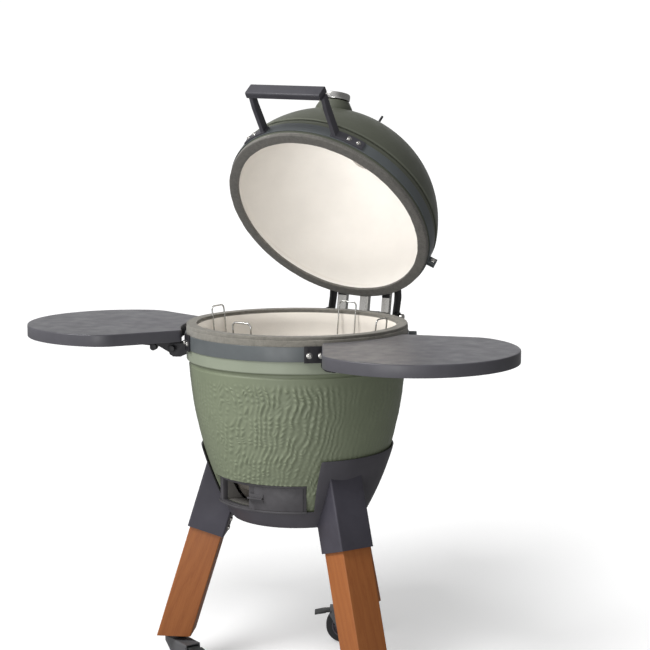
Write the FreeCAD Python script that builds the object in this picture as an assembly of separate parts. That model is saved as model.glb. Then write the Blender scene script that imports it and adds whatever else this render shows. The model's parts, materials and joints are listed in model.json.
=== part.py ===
import FreeCAD, Part
import math
import os
from FreeCAD import Vector as V

# Ceramic kamado grill on a three-legged caster stand, lid standing open.
# Millimetres.  +Z up, +X to the right, -Y is the front.  The floor is z = 0.
# Heights written as "h" or "z" below are measured from the rim plane, where
# the two felt gaskets meet, and are lifted by Z_RIM when a piece is placed.

# ---- driving dimensions ----------------------------------------------------
Z_RIM = 934.0          # rim plane above the floor
AXIS_Y = -5.9          # bowl axis from the origin, so the box is centred
R_RIM = 280.0          # outside radius of the ceramic rim
R_BORE = 252.5         # inside radius of the ceramic rim
GASKET_T = 8.0         # felt gasket thickness
BAND_T = 3.0           # thickness of the steel clamping bands
BAND_TOP, BAND_BOT = -24.0, -60.0      # bowl band
LID_BAND_BOT, LID_BAND_TOP = 17.0, 45.0
DOME_R, DOME_H, DOME_N, DOME_M = 290.0, 268.9, 1.9, 2.4
DOME_WALL = 26.0
HINGE_Y, HINGE_Z = 327.1, -18.6        # lid hinge axle, along X
LID_OPEN = 51.44                       # opening angle of the stored pose
AXLE_R = 5.0
RUN = 0.05                             # radial running clearance
SHELF_R = 247.4
SHELF_C = 456.1        # shelf centre from the bowl axis
SHELF_AZ = 69.08       # direction of each shelf, from the front
SHELF_TOP, SHELF_DEPTH, SHELF_T = -12.9, 29.7, 3.0
SHELF_BITE = 293.5
NECK_U, NECK_V = 266.0, 122.0      # where the shelf's neck meets the bowl
NECK_DU, NECK_DV = 0.797, 0.604    # direction of the neck's sides
SHELF_HINGE_U, SHELF_HINGE_Z = 294.0, -60.0
SHELL_GAP, SHELL_T = 3.0, 4.0
SHELL_TOP = -312.0
LEG_AZ = (-64.5, 64.5, 181.5)
LEG_SLOPES = (0.31, 0.31, 0.355)   # outward run per mm of drop
LEG_TOP_R = 236.4      # leg axis radius at the socket mouth
LEG_RADIAL, LEG_TANG = 85.0, 82.0
LEG_BOTTOM = -824.0
SOCKET_RADIAL, SOCKET_TANG = 97.0, 94.0
SOCKET_BOTTOM = -553.0
WHEEL_R, WHEEL_W = 47.0, 32.0
CASTER_TRAIL = 48.0
VENT_R0, VENT_R1 = 192.0, 205.0
VENT_AZ = 39.0
VENT_TOP, VENT_BOT = -376.0, -450.0
VENT_DOOR_A0, VENT_DOOR_A1 = 2.0, 36.5
CHIMNEY_R = 38.0
GRID_Z = -84.0         # top of the fire ring, where the cooking grid rests

# outside of the bowl below its groove: (height, radius)
BOWL_OUT = [(-104, 274), (-143, 270.5), (-174, 267), (-199, 263.5),
            (-225, 259), (-251, 253.5), (-277, 247.5), (-303, 241),
            (-330, 233.5), (-360, 223.5), (-390, 212.5), (-420, 200),
            (-447, 187.5), (-470, 176), (-487, 166.5)]
BOWL_IN = [(-60, 252.3), (-104, 247), (-143, 243.5), (-199, 236), (-251, 226),
           (-303, 213), (-360, 194), (-400, 177), (-430, 160), (-450, 143)]


# ---- helpers ---------------------------------------------------------------
def lerp(tab, z):
    for (z0, r0), (z1, r1) in zip(tab, tab[1:]):
        if z1 <= z <= z0:
            return r0 + (r1 - r0) * (z - z0) / (z1 - z0)
    return tab[-1][1] if z < tab[-1][0] else tab[0][1]


def spline(pts):
    c = Part.BSplineCurve()
    c.interpolate([V(r, 0, z) for r, z in pts])
    return c.toShape()


def lines(pts):
    return [Part.makeLine(V(a[0], 0, a[1]), V(b[0], 0, b[1]))
            for a, b in zip(pts, pts[1:])]


def revolve(edges, ang=360.0):
    f = Part.Face(Part.Wire(Part.__sortEdges__(edges)))
    s = f.revolve(V(0, 0, 0), V(0, 0, 1), ang)
    return solid(s)


def rev(pts, ang=360.0):
    return revolve(lines(pts + [pts[0]]), ang)


def solid(s):
    if s.ShapeType == "Solid":
        out = s
    elif s.Solids:
        out = s.Solids[0] if len(s.Solids) == 1 else Part.makeCompound(s.Solids)
    else:
        out = Part.makeSolid(s)
    if out.ShapeType == "Solid" and out.Volume < 0:
        out.reverse()
    return out


def ring(r0, r1, z0, z1):
    return Part.makeCylinder(r1, z1 - z0, V(0, 0, z0)).cut(
        Part.makeCylinder(r0, z1 - z0, V(0, 0, z0)))


def sector(r0, r1, a0, a1, z0, z1):
    """Part of a ring between azimuths a0 and a1, from the front towards +X."""
    c = Part.makeCylinder(r1, z1 - z0, V(0, 0, z0), V(0, 0, 1), a1 - a0)
    if r0 > 0:
        c = c.cut(Part.makeCylinder(r0, z1 - z0, V(0, 0, z0)))
    c.rotate(V(0, 0, 0), V(0, 0, 1), a0 - 90.0)
    return c


def box(x0, x1, y0, y1, z0, z1):
    return Part.makeBox(x1 - x0, y1 - y0, z1 - z0, V(x0, y0, z0))


def cyl(p, d, r, h):
    return Part.makeCylinder(r, h, V(*p), V(*d))


def prism_yz(pts, x0, x1):
    w = Part.makePolygon([V(x0, y, z) for y, z in pts + [pts[0]]])
    return Part.Face(w).extrude(V(x1 - x0, 0, 0))


def prism_xz(pts, y0, y1):
    w = Part.makePolygon([V(x, y0, z) for x, z in pts + [pts[0]]])
    return Part.Face(w).extrude(V(0, y1 - y0, 0))


def fuse(*shapes):
    s = shapes[0]
    for t in shapes[1:]:
        s = s.fuse(t)
    return s.removeSplitter()


def radial_bolt(az, z, r, head_r, head_h, shank_r, shank_l):
    """Round-head bolt whose head seats on radius r."""
    a = math.radians(az - 90)
    d = V(math.cos(a), math.sin(a), 0)
    p = V(r * d.x, r * d.y, z)
    head = Part.makeCylinder(head_r, head_h * 0.55, p, d)
    top = Part.makeCone(head_r, head_r * 0.6, head_h * 0.45,
                        p + d * (head_h * 0.55), d)
    q = p - d * shank_l
    return fuse(Part.makeCylinder(shank_r, shank_l, q, d), head, top)


def dome_r(h):
    return DOME_R * (1 - (h / DOME_H) ** DOME_N) ** (1 / DOME_M)


def at_side(shape, right):
    """Piece drawn with +X pointing out along the shelf, put on one side."""
    s = shape.copy()
    s.rotate(V(0, 0, 0), V(0, 0, 1), SHELF_AZ - 90.0)
    return s if right else s.mirror(V(0, 0, 0), V(1, 0, 0))


def lid_place(shape):
    """Piece drawn with the lid shut, moved to the stored open pose."""
    s = shape.copy()
    s.rotate(V(0, HINGE_Y, HINGE_Z), V(1, 0, 0), -LID_OPEN)
    return s


NODES = {}


def add(name, shape):
    NODES[name] = shape


# ---- bowl ------------------------------------------------------------------
def bowl_profile_solid(offset, z_top, z_bot):
    """Full solid of revolution a set distance outside the bowl's wall."""
    zs = [z for z, _ in BOWL_OUT if z_bot < z < z_top]
    tab = [z_top] + zs + [z_bot]
    pts = [(lerp(BOWL_OUT, z) + offset, z) for z in tab]
    e = [spline(pts)] + lines([pts[-1], (0, z_bot), (0, z_top), pts[0]])
    return revolve(e)


outer = [(r, z) for z, r in BOWL_OUT]
inner = [(r, z) for z, r in BOWL_IN]
bowl_edges = lines([(R_BORE, -GASKET_T), (R_RIM, -GASKET_T), (R_RIM, -88),
                    (279, -90), (272, -92), (272, -101.5), outer[0]])
bowl_edges += [spline(outer)]
bowl_edges += lines([outer[-1], (163, -490), (0, -490), (0, -462), (120, -462),
                     inner[-1]])
bowl_edges += [spline(list(reversed(inner)))]
bowl_edges += lines([inner[0], (R_BORE, -GASKET_T)])
bowl = revolve(bowl_edges)
vent_pocket = sector(VENT_R0, 330, -VENT_AZ, VENT_AZ, VENT_BOT, VENT_TOP)
vent_hole = sector(120, VENT_R0 + 1, -33, -3, -440, -386)
bowl = bowl.cut(vent_pocket).cut(vent_hole)

bowl_gasket = ring(R_BORE + 0.5, R_RIM - 0.5, -GASKET_T, 0)
bowl_band = ring(R_RIM, R_RIM + BAND_T, BAND_BOT, BAND_TOP)
CLAMP_AZ = 124.0


def clamp(band, z0, z1):
    """Splits a band, turns its ends out and pulls them with one bolt."""
    def turned(shape):
        s = shape.copy()
        s.rotate(V(0, 0, 0), V(0, 0, 1), CLAMP_AZ - 90.0)
        return s
    r0 = R_RIM + BAND_T
    band = band.cut(turned(box(R_RIM - 6, r0 + 4, -3, 3, z0 - 1, z1 + 1)))
    tabs = [box(r0 - 1.4, r0 + 20, s - 1.5, s + 1.5, z0 + 3, z1 - 3)
            for s in (-4.5, 4.5)]
    zc = (z0 + z1) / 2
    bolt = fuse(cyl((r0 + 11, -13, zc), (0, 1, 0), 3, 26),
                cyl((r0 + 11, -10.5, zc), (0, 1, 0), 6.5, 4.5),
                cyl((r0 + 11, 6.0, zc), (0, 1, 0), 6.5, 5.5))
    tabs = [t.cut(cyl((r0 + 11, -13, zc), (0, 1, 0), 3, 26)) for t in tabs]
    band = fuse(band, *[turned(t) for t in tabs])
    return band, turned(bolt)


bowl_band, bowl_clamp_bolt = clamp(bowl_band, BAND_BOT, BAND_TOP)

# ---- lower vent ------------------------------------------------------------
vent_frame = sector(VENT_R0, VENT_R1, -VENT_AZ, VENT_AZ, VENT_BOT, VENT_TOP)
vent_frame = vent_frame.cut(sector(150, 240, -33, -3, -440, -386))
# two rails that hold the sliding door
for z0, z1 in ((-383.5, -378.5), (-447.5, -442.5)):
    vent_frame = vent_frame.fuse(
        sector(VENT_R1, VENT_R1 + 4.5, -VENT_AZ, VENT_AZ, z0, z1))
vent_frame = vent_frame.removeSplitter()
vent_door = sector(VENT_R1 + 0.4, VENT_R1 + 3.2, VENT_DOOR_A0, VENT_DOOR_A1,
                   -442.1, -383.9)
# finger lip at the leading end of the door
vent_door = fuse(vent_door,
                 sector(VENT_R1 + 2, VENT_R1 + 5, -2.0, 9.0, -423, -403),
                 sector(VENT_R1 + 2, VENT_R1 + 13, -2.0, 9.0, -415, -411))

# ---- inside the bowl -------------------------------------------------------
firebox = rev([(98, -462), (115, -462), (135, -448), (150, -430), (170, -388),
               (196, -310), (212, -232), (190, -232), (174, -310), (151, -368),
               (138, -386), (0, -386), (0, -404), (98, -404)])
firebox = firebox.cut(sector(80, 200, -34, 14, -463, -412))
for i in range(8):
    a = math.radians(22.5 + 45 * i)
    firebox = firebox.cut(cyl((72 * math.cos(a), 72 * math.sin(a), -410),
                              (0, 0, 1), 12, 40))
firebox = firebox.cut(cyl((0, 0, -410), (0, 0, 1), 16, 40))
fire_ring = rev([(190, -232), (212, -232), (226, -160), (238, GRID_Z),
                 (217, GRID_Z), (205, -160)])
grate = Part.makeCylinder(134, 9, V(0, 0, -386))
for i in range(-5, 6):
    w = math.sqrt(118 ** 2 - (i * 21) ** 2)
    grate = grate.cut(box(i * 21 - 5, i * 21 + 5, -w, -5, -387, -376))
    grate = grate.cut(box(i * 21 - 5, i * 21 + 5, 5, w, -387, -376))

# round cooking grid with four upright wire grips
grid = ring(228, 240, GRID_Z, GRID_Z + 5)
disc = Part.makeCylinder(230, 5, V(0, 0, GRID_Z))
for i in range(-11, 12):
    grid = grid.fuse(disc.common(
        box(i * 20 - 2.2, i * 20 + 2.2, -240, 240, GRID_Z, GRID_Z + 5)))
for y in (-110, 110):
    grid = grid.fuse(disc.common(box(-240, 240, y - 3, y + 3, GRID_Z, GRID_Z + 5)))
LOOP_R, LOOP_W, LOOP_TOP, LOOP_LEAN, WIRE = 236.0, 26.0, 26.0, 11.0, 2.2
grips = []
for az in (0, 90, 180, 270):
    # each grip is one bent wire: feet on the ring, legs leaning outwards
    top = (LOOP_R + LOOP_LEAN, LOOP_TOP - WIRE)
    pts = [(LOOP_R, -LOOP_W, GRID_Z + 5), (LOOP_R, -LOOP_W, GRID_Z + 14),
           (top[0], -LOOP_W, top[1]), (top[0], LOOP_W, top[1]),
           (LOOP_R, LOOP_W, GRID_Z + 14), (LOOP_R, LOOP_W, GRID_Z + 5)]
    bars = []
    for p, q in zip(pts, pts[1:]):
        d = V(*q) - V(*p)
        bars.append(Part.makeCylinder(WIRE, d.Length, V(*p), d))
    for p in pts[1:-1]:
        bars.append(Part.makeSphere(WIRE, V(*p)))
    loop = fuse(*bars)
    loop.rotate(V(0, 0, 0), V(0, 0, 1), az - 90)
    grips.append(loop)
grid = Part.makeCompound([grid.removeSplitter()] + grips)

# ---- steel cradle, legs and their sockets ----------------------------------
SHELL_BOT = -490.0
zs = [SHELL_TOP] + [z for z, _ in BOWL_OUT if -484 < z < SHELL_TOP]
so = [(lerp(BOWL_OUT, z) + SHELL_GAP + SHELL_T, z) for z in zs + [-486.0]]
si = [(lerp(BOWL_OUT, z) + SHELL_GAP, z) for z in zs + [-484.0]]
shell = revolve([spline(so)] + lines([so[-1], (166, SHELL_BOT - SHELL_T),
                                      (0, SHELL_BOT - SHELL_T), (0, SHELL_BOT),
                                      (164, SHELL_BOT), si[-1]]) +
                [spline(list(reversed(si)))] + lines([si[0], so[0]]))
shell = shell.cut(prism_xz([(-182, -300), (182, -300), (137, -447),
                            (-137, -447)], -400, 0))
shell = shell.cut(sector(100, 330, -VENT_AZ - 0.6, VENT_AZ + 0.6,
                         VENT_BOT - 1, VENT_TOP + 1))
shell = solid(shell.removeSplitter())

leg_keep_out = bowl_profile_solid(SHELL_GAP + SHELL_T + 1.5, -200.0, -486.0)
leg_keep_out = leg_keep_out.fuse(Part.makeCylinder(176, 12, V(0, 0, -496)))
socket_keep_out = bowl_profile_solid(SHELL_GAP + SHELL_T + 0.2, -200.0, -486.0)
socket_keep_out = socket_keep_out.fuse(
    Part.makeCylinder(173.5, 8.5, V(0, 0, -494.5)))


def leg_place(shape, az, slope):
    s = shape.copy()
    s.rotate(V(0, 0, 0), V(0, 1, 0), -math.degrees(math.atan(slope)))
    s.translate(V(LEG_TOP_R, 0, SOCKET_BOTTOM))
    s.rotate(V(0, 0, 0), V(0, 0, 1), az - 90)
    return s


LEG_NAMES = ("front_left", "front_right", "rear")
leg_bolts = []
for name, az, slope in zip(LEG_NAMES, LEG_AZ, LEG_SLOPES):
    hx, hy = SOCKET_RADIAL / 2, SOCKET_TANG / 2
    tube = box(-hx, hx, -hy, hy, 12, 225)
    try:
        tube = tube.makeFillet(5, [e for e in tube.Edges if e.Length > 200])
    except Exception:
        pass
    tube = tube.cut(box(-LEG_RADIAL / 2 - 0.5, LEG_RADIAL / 2 + 0.5,
                        -LEG_TANG / 2 - 0.5, LEG_TANG / 2 + 0.5, -1, 230))
    leg = box(-LEG_RADIAL / 2, LEG_RADIAL / 2, -LEG_TANG / 2, LEG_TANG / 2,
              -330, 80)
    try:
        leg = leg.makeFillet(3, [e for e in leg.Edges if e.Length > 300])
    except Exception:
        pass
    bolts = [fuse(cyl((-hx - 5, 0, z), (1, 0, 0), 8, 5),
                  cyl((-hx, 0, z), (1, 0, 0), 4, 34)) for z in (28, 52)]
    bolts = Part.makeCompound(bolts)
    tube = tube.cut(bolts)
    leg = leg.cut(bolts)
    tube = leg_place(tube, az, slope).cut(socket_keep_out)
    leg = leg_place(leg, az, slope).cut(leg_keep_out)
    leg = leg.cut(box(-900, 900, -900, 900, LEG_BOTTOM - 400, LEG_BOTTOM))
    add("leg_socket_" + name, max(tube.Solids, key=lambda q: q.Volume))
    add("leg_" + name, max(leg.Solids, key=lambda q: q.Volume))
    leg_bolts.append(leg_place(bolts, az, slope))

# ---- casters ---------------------------------------------------------------
FLOOR = -Z_RIM
CASTER_DIR = {"front_left": (0.920, -0.392), "front_right": (0.30, 0.954),
              "rear": (-0.849, -0.529)}
CASTERS = {}
T = CASTER_TRAIL
for name, az, slope in zip(LEG_NAMES, LEG_AZ, LEG_SLOPES):
    a = math.radians(az - 90)
    foot_r = LEG_TOP_R + slope * (SOCKET_BOTTOM - LEG_BOTTOM)
    cx, cy = foot_r * math.cos(a), foot_r * math.sin(a)
    dx, dy = CASTER_DIR[name]
    ang = math.degrees(math.atan2(dy, dx))
    CASTERS[name] = (cx, cy, dx, dy)
    W = WHEEL_R
    mount = fuse(cyl((0, 0, 98.5), (0, 0, 1), 25, 11.5),
                 cyl((0, 0, 82), (0, 0, 1), 6, 17),
                 cyl((0, 0, 80), (0, 0, 1), 9, 6))
    top = box(-24, 84, -20.8, 20.8, 95.2, 98.2)
    boss = cyl((0, 0, 88), (0, 0, 1), 20.0, 10.2)
    side = [(-24, 98.2), (84, 98.2), (86, 80), (62, 37), (57, 33), (39, 33),
            (34, 37), (-24, 84)]
    plates = [prism_xz(side, y, y + 3.0) for y in (17.8, -20.8)]
    fork = fuse(top, boss, *plates)
    fork = fork.cut(cyl((0, 0, 80), (0, 0, 1), 6 + RUN, 30))
    fork = fork.cut(cyl((0, 0, 80), (0, 0, 1), 9.6, 8.4))
    fork = fork.cut(cyl((T, -17.8, W), (0, 1, 0), W + 1.2, 35.6))
    fork = fork.cut(cyl((82, -30, 88.5), (0, 1, 0), 2.5 + RUN, 60))
    fork = fork.cut(cyl((T, -30, W), (0, 1, 0), 4.0, 60))
    axle = fuse(cyl((T, -20.8, W), (0, 1, 0), 4, 41.6),
                cyl((T, -24.5, W), (0, 1, 0), 7.5, 3.7),
                cyl((T, 20.8, W), (0, 1, 0), 7.5, 3.7))
    hub = cyl((T, -15.5, W), (0, 1, 0), 31, 31)
    for y0 in (-15.6, 9.6):
        hub = hub.cut(cyl((T, y0, W), (0, 1, 0), 27, 6).cut(
            cyl((T, y0 - 1, W), (0, 1, 0), 10, 8)))
    hub = hub.cut(cyl((T, -20, W), (0, 1, 0), 4 + RUN, 40))
    tyre = cyl((T, -WHEEL_W / 2, W), (0, 1, 0), WHEEL_R, WHEEL_W).cut(
        cyl((T, -20, W), (0, 1, 0), 31, 40))
    try:
        tyre = tyre.makeFillet(5, [e for e in tyre.Edges
                                   if abs(e.BoundBox.XLength - 2 * WHEEL_R) < 1
                                   and e.BoundBox.YLength < 0.1])
    except Exception:
        pass
    pedal = prism_xz([(78, 86), (78, 91.5), (90, 91.5), (126, 84.5),
                      (127, 80), (92, 85.5)], -15, 15)
    pedal = fuse(pedal, prism_xz([(96, 90.3), (126, 84.5), (127, 80),
                                  (96, 84.9)], -19, 19),
                 cyl((82, -20.5, 88.5), (0, 1, 0), 2.5, 41))
    for part_name, s in (("caster_mount_", mount), ("caster_fork_", fork),
                         ("caster_axle_", axle), ("wheel_hub_", hub),
                         ("wheel_tyre_", tyre), ("brake_pedal_", pedal)):
        s = s.copy()
        s.translate(V(0, 0, FLOOR))
        if part_name != "caster_mount_":
            s.rotate(V(0, 0, 0), V(0, 0, 1), ang)
        s.translate(V(cx, cy, 0))
        add(part_name + name, s)

# ---- side shelves ----------------------------------------------------------
pin = fuse(cyl((SHELF_HINGE_U, -126, SHELF_HINGE_Z), (0, 1, 0), AXLE_R, 252),
           cyl((SHELF_HINGE_U, -132, SHELF_HINGE_Z), (0, 1, 0), 8.5, 7),
           cyl((SHELF_HINGE_U, 125, SHELF_HINGE_Z), (0, 1, 0), 8.5, 7))


def local_sector(r0, r1, a0, a1, z0, z1):
    c = Part.makeCylinder(r1, z1 - z0, V(0, 0, z0), V(0, 0, 1), a1 - a0).cut(
        Part.makeCylinder(r0, z1 - z0, V(0, 0, z0)))
    c.rotate(V(0, 0, 0), V(0, 0, 1), a0)
    return c


R_B = R_RIM + BAND_T
bracket = []
for sgn in (1, -1):
    a0, a1 = (22.5, 33.0) if sgn > 0 else (-33.0, -22.5)
    plate = local_sector(R_B, R_B + 4, a0, a1, -62, -22)
    ear = prism_xz([(240, -26), (256, -26), (259, -46.5), (294, -47.5),
                    (304, -52), (307, -60), (301, -76), (291, -81),
                    (274, -81), (240, -66)], 112, 118)
    if sgn < 0:
        ear = ear.mirror(V(0, 0, 0), V(0, 1, 0))
    ear = ear.cut(Part.makeCylinder(R_B, 100, V(0, 0, -90)))
    bracket.append(fuse(plate, ear))
# cross strip that ties the two halves, just outside the band
strip = local_sector(R_B, R_B + 4, -30, 30, -58, -50)
bracket = fuse(strip, *bracket)
bracket = bracket.cut(cyl((SHELF_HINGE_U, -150, SHELF_HINGE_Z), (0, 1, 0),
                          AXLE_R, 300))
arms = []
for sgn in (1, -1):
    arm = prism_xz([(283, -16.5), (279, -24), (279, -66), (284, -82.5),
                    (296, -82.5), (303, -73), (330, -58), (430, -50),
                    (630, -30), (640, -24), (640, -16.5)], 104, 110)
    arm = arm.cut(cyl((SHELF_HINGE_U, 94, SHELF_HINGE_Z), (0, 1, 0),
                      AXLE_R + RUN, 30))
    knob = cyl((345, 98, -59), (0, 1, 0), 8.5, 19)
    arm = fuse(arm.cut(box(200, 700, 94, 114, -17.5, -10)),
               box(286, 640, 86, 110, -18.9, -15.9), knob)
    if sgn < 0:
        arm = arm.mirror(V(0, 0, 0), V(0, 1, 0))
    arms.append(arm)
tie = box(330, 348, -86, 86, -18.9, -15.9)
tie2 = box(560, 578, -86, 86, -18.9, -15.9)
arms = fuse(arms[0], tie, tie2, arms[1])

z_t, z_b = SHELF_TOP, SHELF_TOP - SHELF_DEPTH


def outline(inset):
    """Round shelf with a curved inner end and a neck that tapers to it."""
    c = Part.makeCylinder(SHELF_R - inset, 60, V(SHELF_C, 0, z_b - 10))
    c = c.cut(Part.makeCylinder(SHELF_BITE + inset, 60, V(0, 0, z_b - 10)))
    for sgn in (1, -1):
        # keep what lies inside the sloping side of the neck
        nu, nv = -NECK_DV, NECK_DU
        pu, pv = NECK_U - inset * nu, NECK_V - inset * nv
        pts = [(pu - 200 * NECK_DU, pv - 200 * NECK_DV),
               (pu + 500 * NECK_DU, pv + 500 * NECK_DV),
               (pu + 500 * NECK_DU + 300 * nu, pv + 500 * NECK_DV + 300 * nv),
               (pu - 200 * NECK_DU + 300 * nu, pv - 200 * NECK_DV + 300 * nv)]
        w = Part.makePolygon([V(u, sgn * v, z_b - 10)
                              for u, v in pts + [pts[0]]])
        c = c.cut(Part.Face(w).extrude(V(0, 0, 60)))
    return c


slab = Part.makeCylinder(600, SHELF_DEPTH, V(300, 0, z_b))
top = outline(0.0).common(slab)
upright = [e for e in top.Edges
           if e.BoundBox.ZLength > 20 and abs(e.BoundBox.XLength) < 1]
top = top.makeFillet(14.0, [e for e in upright if e.BoundBox.XMin < 300])
upright = [e for e in top.Edges
           if e.BoundBox.ZLength > 20 and abs(e.BoundBox.XLength) < 1
           and 380 < e.BoundBox.XMin < 600]
top = top.makeFillet(90.0, upright)
rounded = top.makeFillet(3.0, [e for e in top.Edges
                               if e.BoundBox.ZMin > z_t - 0.01])
hollow = outline(SHELF_T).common(
    Part.makeCylinder(600, SHELF_DEPTH - SHELF_T, V(300, 0, z_b)))
upright = [e for e in hollow.Edges
           if e.BoundBox.ZLength > 20 and abs(e.BoundBox.XLength) < 1]
hollow = hollow.makeFillet(11.0, [e for e in upright
                                  if e.BoundBox.XMin < 300])
upright = [e for e in hollow.Edges
           if e.BoundBox.ZLength > 20 and abs(e.BoundBox.XLength) < 1
           and 380 < e.BoundBox.XMin < 600]
hollow = hollow.makeFillet(87.0, upright)
top = rounded.cut(hollow)

bolt_angles = (38.6, 44.2, 94.0, 99.6)
shelf_bolts = [radial_bolt(s * a, -44, R_B + 4, 6.5, 5, 3, 4 + BAND_T - 0.2)
               for s in (1, -1) for a in bolt_angles]
shelf_bolts = Part.makeCompound(shelf_bolts)
bowl_band = bowl_band.cut(shelf_bolts)
for side, right in (("right", True), ("left", False)):
    add("shelf_bracket_" + side, at_side(bracket, right).cut(shelf_bolts))
    add("shelf_arms_" + side, at_side(arms, right))
    add("shelf_top_" + side, at_side(top, right))
add("shelf_pins", Part.makeCompound([at_side(pin, True), at_side(pin, False)]))

# ---- lid hinge -------------------------------------------------------------
EAR_X0, EAR_X1 = 105.5, 111.5
SIDE_X0, SIDE_X1 = 97.5, 103.5
STRAPS = ((-82.0, -55.0), (-12.0, 14.0), (56.0, 79.0))
hb = sector(R_B, R_B + 4, 180 - 23.6, 180 + 23.6, -60, -24)
for sx in (1, -1):
    x0, x1 = (EAR_X0, EAR_X1) if sx > 0 else (-EAR_X1, -EAR_X0)
    ear = prism_yz([(255, -60), (255, -26), (300, -14), (322, -5.5),
                    (334, -7), (340, -18.6), (336, -31), (322, -36),
                    (290, -58)], x0, x1)
    ear = ear.cut(Part.makeCylinder(R_B, 100, V(0, 0, -90)))
    hb = hb.fuse(ear)
hb = hb.removeSplitter()
hb = hb.cut(cyl((-150, HINGE_Y, HINGE_Z), (1, 0, 0), AXLE_R, 300))
hinge_bolts = Part.makeCompound(
    [radial_bolt(180 + a, -42, R_B + 4, 6.5, 5, 3, 4 + BAND_T - 0.2)
     for a in (-13, 0, 13)])
hb = hb.cut(hinge_bolts)
bowl_band = bowl_band.cut(hinge_bolts)
axle = fuse(cyl((-118, HINGE_Y, HINGE_Z), (1, 0, 0), AXLE_R, 236),
            cyl((-123.5, HINGE_Y, HINGE_Z), (1, 0, 0), 9, 11.8),
            cyl((111.7, HINGE_Y, HINGE_Z), (1, 0, 0), 9, 11.8))
springs = Part.makeCompound(
    [cyl((x0, HINGE_Y, HINGE_Z), (1, 0, 0), 12, x1 - x0).cut(
        cyl((x0 - 1, HINGE_Y, HINGE_Z), (1, 0, 0), AXLE_R, x1 - x0 + 2))
     for x0, x1 in ((-54.2, -12.8), (14.8, 55.2))])

lb = sector(R_B, R_B + 4, 180 - 24.5, 180 + 24.5, 18, 44)
for x0, x1 in STRAPS:
    strap = prism_yz([(255, 24), (255, 40), (288, 40), (299, 26), (334, -12),
                      (328, -22), (321, -17), (292, 14), (280, 24)], x0, x1)
    strap = strap.cut(Part.makeCylinder(R_B, 100, V(0, 0, -30)))
    lb = lb.fuse(strap).fuse(
        cyl((x0, HINGE_Y, HINGE_Z), (1, 0, 0), 10, x1 - x0))
for x0, x1 in ((SIDE_X0, SIDE_X1), (-SIDE_X1, -SIDE_X0)):
    side = prism_yz([(255, 19), (255, 43), (290, 43), (305, 33), (336, -8),
                     (341, -18.6), (335, -29), (322, -31), (311, -22),
                     (290, 6), (276, 19)], x0, x1)
    lb = lb.fuse(side.cut(Part.makeCylinder(R_B, 100, V(0, 0, -30))))
lb = lb.removeSplitter()
lb = lb.cut(cyl((-150, HINGE_Y, HINGE_Z), (1, 0, 0), AXLE_R + RUN, 300))
lid_hinge_bolts = Part.makeCompound(
    [radial_bolt(180 + a, 31, R_B + 4, 7.5, 8, 3, 4 + BAND_T - 0.2)
     for a in (-22.3, 22.3)])
lb = lb.cut(lid_hinge_bolts)

# ---- lid -------------------------------------------------------------------
hs = [66, 72, 84, 100, 117, 139, 162, 184, 206, 228, 245, 257, 264, 267.5]
dome_out = [(dome_r(h), h) for h in hs]
dome_out = [p for p in dome_out if p[0] > 30]
dome_out.append((0, DOME_H))


def dome_in_r(h):
    return 258.0 * (1 - (h / (DOME_H - DOME_WALL)) ** DOME_N) ** (1 / DOME_M)


his = [24, 50, 75, 100, 125, 150, 172, 190, 206, 220, 230, 237, 241]
dome_in = [(dome_in_r(h), h) for h in his] + [(0, DOME_H - DOME_WALL)]
e = lines([(R_BORE, GASKET_T), (R_RIM, GASKET_T), (R_RIM, 58), (275, 60),
           (275, 63.5), dome_out[0]])
e += [spline(dome_out)]
e += lines([dome_out[-1], dome_in[-1]])
e += [spline(list(reversed(dome_in)))]
e += lines([dome_in[0], (R_BORE, 16), (R_BORE, GASKET_T)])
dome = revolve(e)
e = [spline(dome_out)] + lines([(0, DOME_H), (0, 66), dome_out[0]])
dome_full = revolve(e)

# thermometer seat: a low ceramic cone, square to the gauge
TN = V(0, -0.62, 0.785)
TN.normalize()
TF = V(0, -221, 237)
TS = TF - TN * 36
boss = Part.makeCone(46, 36, 34, TS - TN * 18, TN)
inner_fill = revolve([spline(list(reversed(dome_in)))] +
                     lines([dome_in[0], (0, dome_in[0][1]), dome_in[-1]]))
dome = dome.fuse(boss.cut(inner_fill)).removeSplitter()
dome = dome.cut(Part.makeCylinder(3.2, 160, TS - TN * 100, TN))
dome = dome.cut(Part.makeCylinder(CHIMNEY_R, 60, V(0, 0, 220)))
case = Part.makeCylinder(38, 18, TF - TN * 18, TN)
try:
    case = case.makeFillet(2.0, [c for c in case.Edges if c.Length > 200])
except Exception:
    pass
case = case.cut(Part.makeCylinder(34.5, 6, TF - TN * 5, TN))
case = fuse(case, Part.makeCylinder(13, 3, TS + TN * 16, TN),
            Part.makeCylinder(3, 112, TS - TN * 95, TN))
dial = Part.makeCylinder(34.5, 1, TF - TN * 5, TN)
lens = Part.makeCylinder(34.5, 2, TF - TN * 3, TN)

lid_gasket = ring(R_BORE + 0.5, R_RIM - 0.5, 0.3, GASKET_T)
lid_band = ring(R_RIM, R_B, LID_BAND_BOT, LID_BAND_TOP)
lid_band, lid_clamp_bolt = clamp(lid_band, LID_BAND_BOT, LID_BAND_TOP)

# handle: two flat arms with curved feet on the band, and a bar across them
HANDLE_TURN = 2.0      # the handle sits a little round from the front


def at_handle(shape):
    s = shape.copy()
    s.rotate(V(0, 0, 0), V(0, 0, 1), HANDLE_TURN)
    return s


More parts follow.
